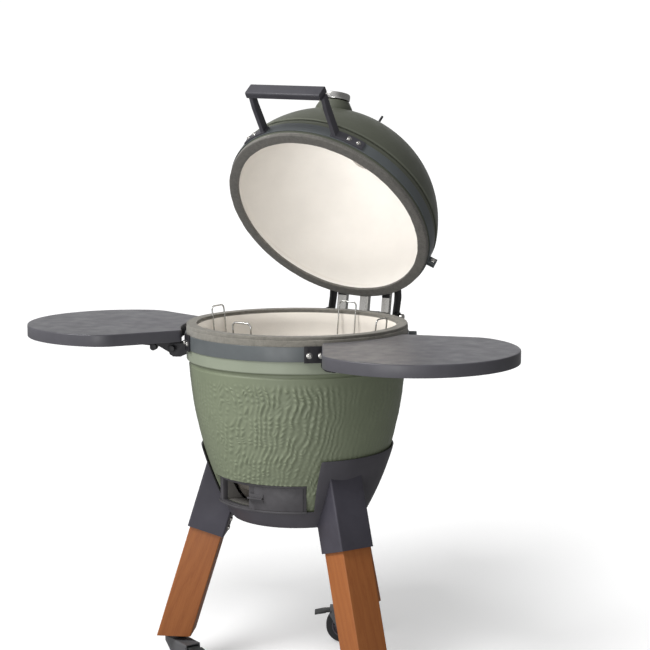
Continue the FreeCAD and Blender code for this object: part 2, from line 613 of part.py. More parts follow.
ARM_X0, ARM_X1 = 99.0, 109.0
arms_h = []
for sx in (1, -1):
    x0, x1 = (ARM_X0, ARM_X1) if sx > 0 else (-ARM_X1, -ARM_X0)
    a = prism_yz([(-240, 20), (-240, 43), (-340, 47), (-373, 51), (-373, 32),
                  (-340, 26)], x0, x1)
    a = a.cut(Part.makeCylinder(R_B, 100, V(0, 0, -30)))
    s0, s1 = (19.5, 37.0) if sx > 0 else (-37.0, -19.5)
    arms_h.append(at_handle(fuse(a, sector(R_B, R_B + 4, s0, s1, 19, 43))))
grip = box(-109, 104, -391, -373, 23, 60)
try:
    grip = grip.makeFillet(4, [c for c in grip.Edges if c.Length > 200])
except Exception:
    pass
grip = at_handle(grip)
lid_bolts = [radial_bolt(s * a, 31, R_B + 4, 5.5, 4.5, 3, 4 + BAND_T - 0.2)
             for s in (1, -1) for a in (29.0, 34.0)]
lid_bolts = Part.makeCompound([at_handle(b) for b in lid_bolts])
lid_band = lid_band.cut(lid_bolts).cut(lid_hinge_bolts)
arms_h = Part.makeCompound([a.cut(lid_bolts) for a in arms_h])
lid_bolts = Part.makeCompound(lid_bolts.Solids + lid_clamp_bolt.Solids)

# chimney: cast base, swing-away vent plate and turning daisy wheel
base = rev([(CHIMNEY_R, 250), (66, 250), (66, 271), (60, 275), (58, 290),
            (CHIMNEY_R, 290)])
base = base.fuse(Part.makeCylinder(9, 40, V(0, 66, 250))).cut(dome_full)
base = max(base.Solids, key=lambda q: q.Volume)
base = fuse(base, Part.makeCylinder(3, 9, V(0, 66, 290)))
cap = Part.makeCylinder(58, 4.7, V(0, 0, 290.3))
tab = fuse(box(-8, 8, 40, 66, 290.3, 295.0), cyl((0, 66, 290.3), (0, 0, 1), 8, 4.7))
cap = fuse(cap, tab)
for i in range(5):
    a = math.radians(90 + 72 * i)
    cap = cap.cut(cyl((33 * math.cos(a), 33 * math.sin(a), 289), (0, 0, 1),
                      12, 8))
cap = cap.cut(cyl((0, 66, 289), (0, 0, 1), 3 + RUN, 8))
cap = fuse(cap, cyl((0, 0, 292), (0, 0, 1), 4, 8),
           cyl((0, 0, 299.4), (0, 0, 1), 9, 4.6))
wheel = Part.makeCylinder(53, 3.8, V(0, 0, 295.3))
for i in range(5):
    a = math.radians(90 + 36 + 72 * i)
    wheel = wheel.cut(cyl((33 * math.cos(a), 33 * math.sin(a), 295),
                          (0, 0, 1), 12, 6))
wheel = wheel.cut(cyl((0, 0, 295), (0, 0, 1), 4 + RUN, 6))
wa = math.radians(30 - 90)
lever = box(46, 78, -6, 6, 295.3, 299.1)
lever.rotate(V(0, 0, 0), V(0, 0, 1), -60)
wheel = fuse(wheel, lever,
             cyl((76 * math.cos(wa), 76 * math.sin(wa), 296), (0, 0, 1), 3.2,
                 40))

for name, s in (("lid_dome", dome), ("lid_gasket", lid_gasket),
                ("lid_band", lid_band), ("lid_band_bolts", lid_bolts),
                ("hinge_lid_bracket", lb), ("hinge_lid_bolts", lid_hinge_bolts),
                ("handle_arms", arms_h), ("handle_grip", grip),
                ("thermometer_case", case), ("thermometer_dial", dial),
                ("thermometer_lens", lens), ("chimney_base", base),
                ("chimney_cap", cap), ("daisy_wheel", wheel)):
    add(name, lid_place(s))

for name, s in (("cradle_shell", shell),
                ("leg_bolts", Part.makeCompound(
                    [b for c in leg_bolts for b in c.Solids])),
                ("bowl", bowl), ("bowl_gasket", bowl_gasket),
                ("bowl_band", bowl_band),
                ("band_bolts", Part.makeCompound(
                    shelf_bolts.Solids + hinge_bolts.Solids
                    + bowl_clamp_bolt.Solids)),
                ("vent_frame", vent_frame), ("vent_door", vent_door),
                ("firebox", firebox), ("fire_ring", fire_ring),
                ("charcoal_grate", grate), ("cooking_grid", grid),
                ("hinge_bowl_bracket", hb), ("hinge_axle", axle),
                ("hinge_springs", springs)):
    add(name, s)

# ---- export ----------------------------------------------------------------
os.makedirs("parts", exist_ok=True)
lo = [1e9] * 3
hi = [-1e9] * 3
for name in sorted(NODES):
    s = NODES[name].copy()
    s.translate(V(0, AXIS_Y, Z_RIM))
    if s.ShapeType == "Compound" and len(s.Solids) == 1:
        s = s.Solids[0]
    b = s.BoundBox
    lo = [min(lo[0], b.XMin), min(lo[1], b.YMin), min(lo[2], b.ZMin)]
    hi = [max(hi[0], b.XMax), max(hi[1], b.YMax), max(hi[2], b.ZMax)]
    print("%-24s solids %2d valid %s vol %10.0f mm3" %
          (name, len(s.Solids), s.isValid(), s.Volume))
    s.exportStep("parts/%s.step" % name)
print("nodes", len(NODES))
print("box", [round(v, 1) for v in lo], [round(v, 1) for v in hi],
      "centre y %.1f" % ((lo[1] + hi[1]) / 2))
for name, c in CASTERS.items():
    print("caster", name, [round(v, 4) for v in c])
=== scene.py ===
import bpy, bmesh, math, json
import numpy as np
from mathutils import Vector, Matrix

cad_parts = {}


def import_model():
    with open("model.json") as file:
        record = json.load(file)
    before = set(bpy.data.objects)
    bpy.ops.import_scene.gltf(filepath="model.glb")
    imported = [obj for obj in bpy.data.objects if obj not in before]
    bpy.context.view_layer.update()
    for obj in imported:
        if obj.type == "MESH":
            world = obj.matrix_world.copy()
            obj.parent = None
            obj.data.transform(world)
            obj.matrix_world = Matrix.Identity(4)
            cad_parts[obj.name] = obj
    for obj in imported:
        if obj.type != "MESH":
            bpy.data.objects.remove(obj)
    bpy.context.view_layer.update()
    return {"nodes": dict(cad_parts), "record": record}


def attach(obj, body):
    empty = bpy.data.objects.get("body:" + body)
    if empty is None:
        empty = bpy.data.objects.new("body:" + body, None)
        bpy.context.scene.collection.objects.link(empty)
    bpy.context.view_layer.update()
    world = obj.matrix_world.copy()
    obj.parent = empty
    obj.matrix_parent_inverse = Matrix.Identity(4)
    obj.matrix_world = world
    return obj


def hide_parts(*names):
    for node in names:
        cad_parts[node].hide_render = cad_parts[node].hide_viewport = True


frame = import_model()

# ---------------------------------------------------------------------------
# Shared measures (millimetres): heights are from the rim plane, the bowl's
# axis is the origin; world() turns them into the frame's metres.
# ---------------------------------------------------------------------------
ZR, AY = 934.0, -5.9
TH = math.radians(51.44)
CT, ST = math.cos(TH), math.sin(TH)
YH, ZH = 327.1, -18.6
BOWL_OUT = [(-104, 274), (-143, 270.5), (-174, 267), (-199, 263.5),
            (-225, 259), (-251, 253.5), (-277, 247.5), (-303, 241),
            (-330, 233.5), (-360, 223.5), (-390, 212.5), (-420, 200),
            (-447, 187.5), (-470, 176), (-487, 166.5)]
BOWL_IN = [(-60, 252.3), (-104, 247), (-143, 243.5), (-199, 236), (-251, 226),
           (-303, 213), (-360, 194), (-400, 177), (-430, 160), (-450, 143)]


def world(p):
    p = np.asarray(p, float).reshape(-1, 3)
    return np.stack([p[:, 0], p[:, 1] + AY, p[:, 2] + ZR], 1) / 1000.0


def opened(p):
    """Closed-lid point, in mm, to where it is with the lid open."""
    p = np.asarray(p, float).reshape(-1, 3)
    dy, dz = p[:, 1] - YH, p[:, 2] - ZH
    return np.stack([p[:, 0], YH + CT * dy + ST * dz, ZH - ST * dy + CT * dz], 1)


def smooth_tab(tab, n):
    """Smooth curve through a (z, r) table, as n evenly spaced (r, z)."""
    z = np.array([t[0] for t in tab], float)[::-1]
    r = np.array([t[1] for t in tab], float)[::-1]
    m = np.gradient(r, z)
    zz = np.linspace(z[0], z[-1], n)
    k = np.clip(np.searchsorted(z, zz) - 1, 0, len(z) - 2)
    h = z[k + 1] - z[k]
    t = (zz - z[k]) / h
    rr = ((2 * t**3 - 3 * t**2 + 1) * r[k] + (t**3 - 2 * t**2 + t) * h * m[k]
          + (-2 * t**3 + 3 * t**2) * r[k + 1] + (t**3 - t**2) * h * m[k + 1])
    return np.stack([rr, zz], 1)[::-1]


def soften(pts, radius, n=4):
    """Rounds every corner of a closed (r, z) outline."""
    pts = [np.array(p, float) for p in pts]
    out = []
    for i, p in enumerate(pts):
        a, b = pts[i - 1] - p, pts[(i + 1) % len(pts)] - p
        la, lb = np.linalg.norm(a), np.linalg.norm(b)
        rad = radius[i] if isinstance(radius, (list, tuple)) else radius
        d = min(rad, la * 0.45, lb * 0.45)
        if d < 1e-6 or p[0] < 1e-6:
            out.append(p)
            continue
        s, e = p + a / la * d, p + b / lb * d
        for t in np.linspace(0, 1, n + 1):
            out.append((1 - t) ** 2 * s + 2 * t * (1 - t) * p + t * t * e)
    return [tuple(q) for q in out]


# ---------------------------------------------------------------------------
# Lattice noise, seeded by its own hash so that every run is the same
# ---------------------------------------------------------------------------
def hash3(i, j, k, seed):
    with np.errstate(over="ignore"):
        n = (i.astype(np.int64) * 374761393 + j.astype(np.int64) * 668265263
             + k.astype(np.int64) * 2147483647 + seed * 144665)
        n = (n ^ (n >> 13)) * 1274126177
        n = n ^ (n >> 16)
    return (n & 0xFFFFF) / float(0xFFFFF) * 2 - 1


def vnoise(p, seed=0):
    f = np.floor(p)
    t = p - f
    t = t * t * t * (t * (t * 6 - 15) + 10)
    i, j, k = (f[..., a].astype(np.int64) for a in range(3))
    out = 0
    for a in (0, 1):
        for b in (0, 1):
            for c in (0, 1):
                w = ((t[..., 0] if a else 1 - t[..., 0])
                     * (t[..., 1] if b else 1 - t[..., 1])
                     * (t[..., 2] if c else 1 - t[..., 2]))
                out = out + w * hash3(i + a, j + b, k + c, seed)
    return out


# ---------------------------------------------------------------------------
# Mesh building
# ---------------------------------------------------------------------------
class Geo:
    def __init__(self):
        self.v, self.f, self.m, self.n = [], [], [], 0

    def add(self, v, f, m=0):
        v = np.asarray(v, float).reshape(-1, 3)
        self.v.append(v)
        self.f += [tuple(i + self.n for i in q) for q in f]
        self.m += list(m) if isinstance(m, (list, tuple)) else [m] * len(f)
        self.n += len(v)
        return self

    def verts(self):
        return np.concatenate(self.v)


def build(name, g, mats, body, replaces=(), lid=False, angle=38.0,
          merge=1e-7, recalc=True):
    v = g.verts()
    if lid:
        v = opened(v)
    me = bpy.data.meshes.new(name)
    me.from_pydata(world(v).tolist(), [], g.f)
    for m in mats:
        me.materials.append(m)
    me.polygons.foreach_set("material_index", g.m)
    bm = bmesh.new()
    bm.from_mesh(me)
    bmesh.ops.remove_doubles(bm, verts=bm.verts, dist=merge)
    bmesh.ops.dissolve_degenerate(bm, dist=merge, edges=bm.edges)
    if recalc:
        bmesh.ops.recalc_face_normals(bm, faces=bm.faces)
    bm.to_mesh(me)
    bm.free()
    return place(name, me, body, replaces, angle)


def place(name, me, body, replaces=(), angle=38.0):
    me.polygons.foreach_set("use_smooth", [True] * len(me.polygons))
    me.set_sharp_from_angle(angle=math.radians(angle))
    me.update()
    o = bpy.data.objects.new(name, me)
    bpy.context.scene.collection.objects.link(o)
    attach(o, body)
    if replaces:
        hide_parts(*replaces)
    return o


def lathe(g, prof, steps=192, mats=0, a0=0.0, a1=360.0):
    """Closed outline (r, z) turned about the bowl's axis."""
    full = abs(a1 - a0 - 360.0) < 1e-6
    n = len(prof)
    m = steps if full else steps + 1
    ang = np.radians(np.linspace(a0, a1, steps + 1)[:m])
    r = np.array([p[0] for p in prof])
    z = np.array([p[1] for p in prof])
    v = np.stack([np.outer(np.sin(ang), r), -np.outer(np.cos(ang), r),
                  np.broadcast_to(z, (m, n))], 2).reshape(-1, 3)
    f, mi = [], []
    for i in range(steps):
        i2 = (i + 1) % m if full else i + 1
        for j in range(n):
            j2 = (j + 1) % n
            f.append((i * n + j, i2 * n + j, i2 * n + j2, i * n + j2))
            mi.append(mats[j] if isinstance(mats, (list, tuple)) else mats)
    if not full:
        f.append(tuple(range(n)))
        f.append(tuple(reversed(range(steps * n, steps * n + n))))
        mi += [mi[0], mi[0]]
    return g.add(v, f, mi)


def basis(d):
    d = np.asarray(d, float)
    d = d / np.linalg.norm(d)
    a = np.array([0, 0, 1.0]) if abs(d[2]) < 0.9 else np.array([1.0, 0, 0])
    u = np.cross(a, d)
    u /= np.linalg.norm(u)
    return u, np.cross(d, u), d


def turn(g, prof, p, d, steps=48, mat=0, closed=False):
    """Outline (r, t) turned about the line from p along d."""
    u, w, d = basis(d)
    p = np.asarray(p, float)
    n = len(prof)
    v = []
    for i in range(steps):
        a = 2 * math.pi * i / steps
        e = math.cos(a) * u + math.sin(a) * w
        for r, t in prof:
            v.append(p + d * t + e * r)
    f = []
    for i in range(steps):
        k = (i + 1) % steps
        for j in range(n if closed else n - 1):
            j2 = (j + 1) % n
            f.append((i * n + j, k * n + j, k * n + j2, i * n + j2))
    return g.add(v, f, mat)


def sweep(g, path, radius, sides=12, closed=False, mat=0, caps=True):
    """Round bar along a path of points."""
    P = np.asarray(path, float)
    n = len(P)
    if closed:
        T = np.roll(P, -1, 0) - np.roll(P, 1, 0)
    else:
        T = np.gradient(P, axis=0)
    T /= np.linalg.norm(T, axis=1)[:, None]
    u, w, _ = basis(T[0])
    v = []
    for i in range(n):
        u = u - T[i] * np.dot(u, T[i])
        u /= np.linalg.norm(u)
        w = np.cross(T[i], u)
        for k in range(sides):
            a = 2 * math.pi * k / sides
            v.append(P[i] + radius * (math.cos(a) * u + math.sin(a) * w))
    f = []
    for i in range(n if closed else n - 1):
        i2 = (i + 1) % n
        for k in range(sides):
            k2 = (k + 1) % sides
            f.append((i * sides + k, i * sides + k2, i2 * sides + k2,
                      i2 * sides + k))
    if not closed and caps:
        f.append(tuple(reversed(range(sides))))
        f.append(tuple(range((n - 1) * sides, n * sides)))
    return g.add(v, f, mat)


def rbox(g, lo, hi, r=1.0, seg=3, M=None, mat=0):
    bm = bmesh.new()
    bmesh.ops.create_cube(bm, size=1.0)
    lo, hi = np.array(lo, float), np.array(hi, float)
    for q in bm.verts:
        q.co = Vector(((lo + hi) / 2 + np.array(q.co) * (hi - lo)))
    if r > 0:
        bmesh.ops.bevel(bm, geom=list(bm.edges), offset=r, segments=seg,
                        profile=0.5, affect="EDGES", clamp_overlap=True)
    v = np.array([list(q.co) for q in bm.verts])
    bm.verts.index_update()
    f = [tuple(q.index for q in fc.verts) for fc in bm.faces]
    bm.free()
    if M is not None:
        v = M(v)
    return g.add(v, f, mat)


def bolt(g, p, d, r=6.5, h=4.5, mat=0, washer=True):
    """Button-head screw with a socket in its head, on a washer."""
    p = np.asarray(p, float)
    t0 = 0.0
    if washer:
        turn(g, [(0, 0), (r * 1.28, 0), (r * 1.28, 0.9), (r * 1.2, 1.2),
                 (0, 1.2)], p, d, 32, mat)
        t0 = 1.2
    prof = [(r, t0), (r, t0 + h * .25)]
    for a in np.linspace(0.15, 1.0, 6):
        prof.append((r * math.cos(a * 1.02), t0 + h * (.25 + .75 * math.sin(a * 1.571))))
    prof += [(r * 0.44, t0 + h), (r * 0.40, t0 + h * 0.45), (0, t0 + h * 0.4)]
    turn(g, prof, p, d, 36, mat)


def fine(node, mat, bevel=0.6, seg=2, angle=30.0, body=None, dissolve=1.0,
         name=None, sharp=32.0, pick=None):
    """A finished copy of a CAD piece: one skin, edges broken, smooth where
    the real one is smooth.  It takes the CAD piece's place."""
    src = frame["nodes"][node]
    me = bpy.data.meshes.new(name or (node + "_finish"))
    bm = bmesh.new()
    bm.from_mesh(src.data)
    bmesh.ops.remove_doubles(bm, verts=bm.verts, dist=2e-6)
    bmesh.ops.dissolve_degenerate(bm, dist=2e-6, edges=bm.edges)
    if dissolve:
        bmesh.ops.dissolve_limit(bm, angle_limit=math.radians(dissolve),
                                 use_dissolve_boundaries=False,
                                 verts=bm.verts, edges=bm.edges)
    if bevel > 0:
        es = [e for e in bm.edges if len(e.link_faces) == 2
              and e.calc_face_angle(0.0) > math.radians(angle)]
        if es:
            bmesh.ops.bevel(bm, geom=es, offset=bevel / 1000.0, segments=seg,
                            profile=0.5, affect="EDGES", clamp_overlap=True)
    bmesh.ops.recalc_face_normals(bm, faces=bm.faces)
    bm.to_mesh(me)
    bm.free()
    me.materials.clear()
    mats = mat if isinstance(mat, list) else [mat]
    for m in mats:
        me.materials.append(m)
    if "custom_normal" in me.attributes:
        me.attributes.remove(me.attributes["custom_normal"])
    mi = [0] * len(me.polygons)
    if pick:
        # pick() judges by the place in the closed-lid design, in mm
        for k, q in enumerate(me.polygons):
            x, y, z = q.center
            y, z = y * 1000 - AY - YH, z * 1000 - ZR - ZH
            mi[k] = pick((x * 1000, YH + CT * y - ST * z, ZH + ST * y + CT * z))
    me.polygons.foreach_set("material_index", mi)
    b = body or next(k for k, ns in frame["record"]["behaviour"]["bodies"].items()
                     if node in ns)
    return place(name or (node + "_finish"), me, b, (node,), sharp)


# ---------------------------------------------------------------------------
# Materials
# ---------------------------------------------------------------------------
def srgb(r, g, b, k=1.0):
    return tuple([min(1.0, (((c / 255 + 0.055) / 1.055) ** 2.4 if c > 10 else
                            c / 255 / 12.92) * k) for c in (r, g, b)] + [1.0])


class Mat:
    def __init__(self, name):
        self.m = bpy.data.materials.new(name)
        self.m.use_nodes = True
        self.t = self.m.node_tree
        self.t.nodes.clear()
        self.out = self.n("ShaderNodeOutputMaterial")
        self.b = self.n("ShaderNodeBsdfPrincipled")
        self.l(self.b.outputs[0], self.out.inputs[0])
        self.tc = self.n("ShaderNodeTexCoord")
        self.obj = self.tc.outputs["Object"]

    def n(self, kind):
        return self.t.nodes.new(kind)

    def l(self, a, b):
        self.t.links.new(a, b)

    def mapping(self, vec=None, scale=(1, 1, 1), rot=(0, 0, 0), loc=(0, 0, 0)):
        m = self.n("ShaderNodeMapping")
        m.inputs["Scale"].default_value = scale
        m.inputs["Rotation"].default_value = rot
        m.inputs["Location"].default_value = loc
        self.l(vec or self.obj, m.inputs["Vector"])
        return m.outputs[0]

    def noise(self, scale, detail=3.0, rough=0.5, dist=0.0, vec=None):
        k = self.n("ShaderNodeTexNoise")
        k.inputs["Scale"].default_value = scale
        k.inputs["Detail"].default_value = detail
        k.inputs["Roughness"].default_value = rough
        k.inputs["Distortion"].default_value = dist
        self.l(vec or self.obj, k.inputs["Vector"])
        return k.outputs["Fac"]

    def voronoi(self, scale, vec=None, feature="F1", out="Distance"):
        k = self.n("ShaderNodeTexVoronoi")
        k.feature = feature
        k.inputs["Scale"].default_value = scale
        self.l(vec or self.obj, k.inputs["Vector"])
        return k.outputs[out]

    def wave(self, scale, dist, detail, dscale, vec=None, axis="X"):
        k = self.n("ShaderNodeTexWave")
        k.bands_direction = axis
        k.inputs["Scale"].default_value = scale
        k.inputs["Distortion"].default_value = dist
        k.inputs["Detail"].default_value = detail
        k.inputs["Detail Scale"].default_value = dscale
        self.l(vec or self.obj, k.inputs["Vector"])
        return k.outputs["Fac"]

    def ramp(self, fac, stops):
        r = self.n("ShaderNodeValToRGB")
        e = r.color_ramp.elements
        while len(e) > 1:
            e.remove(e[-1])
        e[0].position, e[0].color = stops[0][0], self.col(stops[0][1])
        for pos, c in stops[1:]:
            q = e.new(pos)
            q.color = self.col(c)
        self.l(fac, r.inputs[0])
        return r.outputs[0]

    def col(self, c):
        return (c, c, c, 1.0) if isinstance(c, (int, float)) else c

    def mix(self, fac, a, b, mode="MIX"):
        k = self.n("ShaderNodeMix")
        k.data_type = "RGBA"
        k.blend_type = mode
        for s, v in ((k.inputs[0], fac), (k.inputs[6], a), (k.inputs[7], b)):
            if hasattr(v, "links"):
                self.l(v, s)
            else:
                s.default_value = v if not isinstance(v, tuple) else v
        return k.outputs[2]

    def math(self, op, a, b=0.5):
        k = self.n("ShaderNodeMath")
        k.operation = op
        for s, v in ((k.inputs[0], a), (k.inputs[1], b)):
            if hasattr(v, "links"):
                self.l(v, s)
            else:
                s.default_value = v
        return k.outputs[0]

    def range(self, v, a, b, c, d):
        k = self.n("ShaderNodeMapRange")
        for i, x in zip((1, 2, 3, 4), (a, b, c, d)):
            k.inputs[i].default_value = x
        self.l(v, k.inputs[0])
        return k.outputs[0]

    def bump(self, height, strength=0.3, dist=0.001, normal=None):
        k = self.n("ShaderNodeBump")
        k.inputs["Strength"].default_value = strength
        k.inputs["Distance"].default_value = dist
        self.l(height, k.inputs["Height"])
        if normal is not None:
            self.l(normal, k.inputs["Normal"])
        return k.outputs[0]

    def pointy(self, lo=0.52, hi=0.6):
        g = self.n("ShaderNodeNewGeometry")
        return self.range(g.outputs["Pointiness"], lo, hi, 0.0, 1.0)

    def setup(self, color=None, rough=None, normal=None, metallic=0.0, **kw):
        for key, v in (("Base Color", color), ("Roughness", rough),
                       ("Normal", normal)):
            if v is None:
                continue
            if hasattr(v, "links"):
                self.l(v, self.b.inputs[key])
            else:
                self.b.inputs[key].default_value = v
        self.b.inputs["Metallic"].default_value = metallic
        for k, v in kw.items():
            self.b.inputs[k.replace("_", " ")].default_value = v
        return self.m


def powder(name, base, rough=0.5, grain=1.0, lift=1.35, spec=0.4):
    """Fine-textured powder coat: orange-peel, dust, worn edges."""
    t = Mat(name)
    cloud = t.noise(9.0, 4.0, 0.6)
    fleck = t.noise(900.0, 2.0, 0.6)
    dark = tuple([c * 0.86 for c in base[:3]] + [1.0])
    lite = tuple([min(1, c * 1.12) for c in base[:3]] + [1.0])
    c = t.mix(t.range(cloud, 0.3, 0.7, 0.0, 1.0), dark, lite)
    edge = tuple([min(1, c0 * lift + 0.02) for c0 in base[:3]] + [1.0])
    c = t.mix(t.math("MULTIPLY", t.pointy(0.53, 0.62),
                     t.range(t.noise(60.0, 3.0), 0.35, 0.65, 0.1, 0.8)), c, edge)
    peel = t.noise(520.0, 2.0, 0.5)
    nrm = t.bump(fleck, 0.16 * grain, 0.0003)
    nrm = t.bump(peel, 0.22 * grain, 0.0004, nrm)
    rg = t.range(t.noise(30.0, 3.0), 0.3, 0.7, rough - 0.05, rough + 0.06)
    return t.setup(c, rg, nrm, Specular_IOR_Level=spec)


def glaze(name, a, b, shade=1.0):
    """Matt-satin coloured glaze with fine speckle and soft mottling."""
    t = Mat(name)
    cloud = t.noise(5.0, 5.0, 0.6)
    mott = t.noise(38.0, 4.0, 0.65)
    c = t.mix(t.range(cloud, 0.32, 0.68, 0.0, 1.0), a, b)
    c = t.mix(t.range(mott, 0.35, 0.75, 0.0, 0.22), c,
              tuple([min(1, x * 1.22) for x in a[:3]] + [1.0]))
    sp = t.voronoi(420.0)
    spot = t.math("MULTIPLY", t.range(sp, 0.0, 0.16, 1.0, 0.0),
                  t.range(t.noise(75.0, 2.0), 0.5, 0.66, 0.0, 0.55))
    c = t.mix(spot, c, tuple([x * 0.45 for x in a[:3]] + [1.0]))
    # glaze breaks paler over high edges and pools darker in the hollows
    g = t.n("ShaderNodeNewGeometry")
    c = t.mix(t.range(g.outputs["Pointiness"], 0.50, 0.58, 0.0, 0.4), c,
              tuple([min(1, x * 1.35) for x in b[:3]] + [1.0]))
    c = t.mix(t.range(g.outputs["Pointiness"], 0.42, 0.50, 0.5, 0.0), c,
              tuple([x * 0.62 for x in a[:3]] + [1.0]))
    n1 = t.bump(t.noise(150.0, 4.0, 0.6), 0.25, 0.0007)
    n2 = t.bump(t.noise(850.0, 2.0), 0.10, 0.0003, n1)
    rg = t.range(mott, 0.3, 0.7, 0.40, 0.54)
    return t.setup(c, rg, n2, Specular_IOR_Level=0.42, Coat_Weight=0.06,
                   Coat_Roughness=0.3)


def refractory(name, base, dark, rough=0.75):
    t = Mat(name)
    c = t.mix(t.range(t.noise(7.0, 5.0, 0.6), 0.3, 0.7, 0.0, 1.0), base,
              tuple([x * 0.93 for x in base[:3]] + [1.0]))
    pore = t.voronoi(260.0)
    c = t.mix(t.range(pore, 0.0, 0.14, 0.35, 0.0), c, dark)
    n1 = t.bump(t.noise(120.0, 5.0, 0.65), 0.3, 0.0008)
    n2 = t.bump(pore, 0.12, 0.0005, n1)
    rg = t.range(t.noise(20.0, 3.0), 0.3, 0.7, rough - 0.08, rough + 0.1)
    return t.setup(c, rg, n2, Specular_IOR_Level=0.3)


def steel(name, base, rough=0.3, brush=(1, 1, 60), metallic=1.0, tint=0.9):
    t = Mat(name)
    v = t.mapping(scale=brush)
    br = t.noise(160.0, 3.0, 0.6, 0.0, v)
    c = t.mix(t.range(br, 0.3, 0.7, 0.0, 1.0), base,
              tuple([x * tint for x in base[:3]] + [1.0]))
    c = t.mix(t.range(t.noise(14.0, 4.0), 0.45, 0.75, 0.0, 0.25), c,
              tuple([x * 0.72 for x in base[:3]] + [1.0]))
    n = t.bump(br, 0.09, 0.0002)
    rg = t.range(br, 0.3, 0.7, rough - 0.06, rough + 0.09)
    return t.setup(c, rg, n, metallic)


def casting(name, base, rough=0.55):
    t = Mat(name)
    c = t.mix(t.range(t.noise(25.0, 5.0), 0.3, 0.7, 0.0, 1.0), base,
              tuple([min(1, x * 1.3 + 0.006) for x in base[:3]] + [1.0]))
    c = t.mix(t.pointy(0.54, 0.64), c,
              tuple([min(1, x * 1.9 + 0.03) for x in base[:3]] + [1.0]))
    n1 = t.bump(t.noise(260.0, 4.0, 0.7), 0.45, 0.0006)
    n2 = t.bump(t.noise(950.0, 2.0), 0.2, 0.0003, n1)
    rg = t.range(t.noise(80.0, 3.0), 0.3, 0.7, rough - 0.08, rough + 0.08)
    return t.setup(c, rg, n2, Specular_IOR_Level=0.45)


def felt(name, a, b):
    t = Mat(name)
    f1 = t.noise(620.0, 5.0, 0.75, 0.6)
    f2 = t.noise(95.0, 4.0, 0.6)
    c = t.mix(t.range(f1, 0.3, 0.7, 0.0, 1.0), a, b)
    c = t.mix(t.range(f2, 0.4, 0.7, 0.0, 0.35), c,
              tuple([x * 0.55 for x in a[:3]] + [1.0]))
    n1 = t.bump(f1, 0.7, 0.0009)
    n2 = t.bump(f2, 0.35, 0.0016, n1)
    return t.setup(c, 0.95, n2, Sheen_Weight=0.25, Sheen_Roughness=0.6,
                   Specular_IOR_Level=0.15)


def rubber(name, base, rough=0.6):
    t = Mat(name)
    d = t.noise(140.0, 4.0, 0.6)
    c = t.mix(t.range(d, 0.35, 0.7, 0.0, 0.6), base,
              tuple([min(1, x * 1.8 + 0.012) for x in base[:3]] + [1.0]))
    n = t.bump(t.noise(700.0, 3.0), 0.2, 0.0003)
    return t.setup(c, t.range(d, 0.3, 0.7, rough - 0.1, rough + 0.12), n,
                   Specular_IOR_Level=0.35)


def timber(name, rot, seed):
    """Oiled hardwood; the grain runs along the leg."""
    t = Mat(name)
    base = t.mapping(rot=rot, loc=(seed * 0.37, seed * 0.21, seed * 0.13))
    lng = t.mapping(vec=base, scale=(1.0, 1.0, 0.045))
    mid = t.mapping(vec=base, scale=(1.0, 1.0, 0.11))
    warp = t.noise(3.2, 3.0, 0.5, 0.0, mid)
    rings = t.n("ShaderNodeTexWave")
    rings.wave_type = "BANDS"
    rings.bands_direction = "DIAGONAL"
    rings.inputs["Scale"].default_value = 26.0
    rings.inputs["Distortion"].default_value = 7.5
    rings.inputs["Detail"].default_value = 3.0
    rings.inputs["Detail Scale"].default_value = 1.3
    rings.inputs["Detail Roughness"].default_value = 0.55
    t.l(mid, rings.inputs["Vector"])
    fib = t.noise(420.0, 3.0, 0.6, 0.0, lng)
    pore = t.noise(900.0, 2.0, 0.7, 0.0, lng)
    c = t.ramp(rings.outputs["Fac"], [
        (0.0, srgb(162, 97, 49)), (0.35, srgb(157, 93, 46)),
        (0.62, srgb(150, 86, 41)), (0.85, srgb(157, 92, 46)),
        (1.0, srgb(145, 81, 38))])
    c = t.mix(t.range(warp, 0.3, 0.75, 0.0, 0.45), c, srgb(138, 75, 35))
    c = t.mix(t.range(fib, 0.38, 0.7, 0.0, 0.35), c, srgb(174, 110, 60))
    c = t.mix(t.range(pore, 0.62, 0.78, 0.0, 0.6), c, srgb(92, 48, 24))
    c = t.mix(t.pointy(0.53, 0.62), c, srgb(182, 118, 68))
    n1 = t.bump(fib, 0.16, 0.0004)
    n2 = t.bump(pore, 0.3, 0.0003, n1)
    rg = t.range(fib, 0.3, 0.7, 0.42, 0.58)
    return t.setup(c, rg, n2, Specular_IOR_Level=0.35, Coat_Weight=0.05,
                   Coat_Roughness=0.35)


M_GREEN = glaze("green_glaze", srgb(119, 127, 104), srgb(130, 138, 114))
# a darker copy of the bowl's glaze: painted shade on the lid's outside, which faces away from the key
# light
M_GREEN_LID_SHADE = glaze("green_glaze_lid_painted_shade", srgb(86, 89, 77), srgb(94, 97, 85))
# a lighter copy of the bowl's glaze for the upright strip round the band: partly a smoother glaze
# there, partly painted light
M_GREEN_RIM_LIT = glaze("green_glaze_rim_painted_light", srgb(140, 147, 129), srgb(150, 157, 139))
M_CREAM = refractory("cream_inside", srgb(250, 246, 240), srgb(226, 219, 206))
M_BOWL_IN = refractory("bowl_inside", srgb(238, 231, 221), srgb(206, 196, 180))
# grey for the walls of the vent window: painted shade for the cream ceramic lying in shadow inside
# the opening
M_WINDOW_SHADE = refractory("vent_window_painted_shade", srgb(112, 109, 105), srgb(72, 70, 66), 0.85)
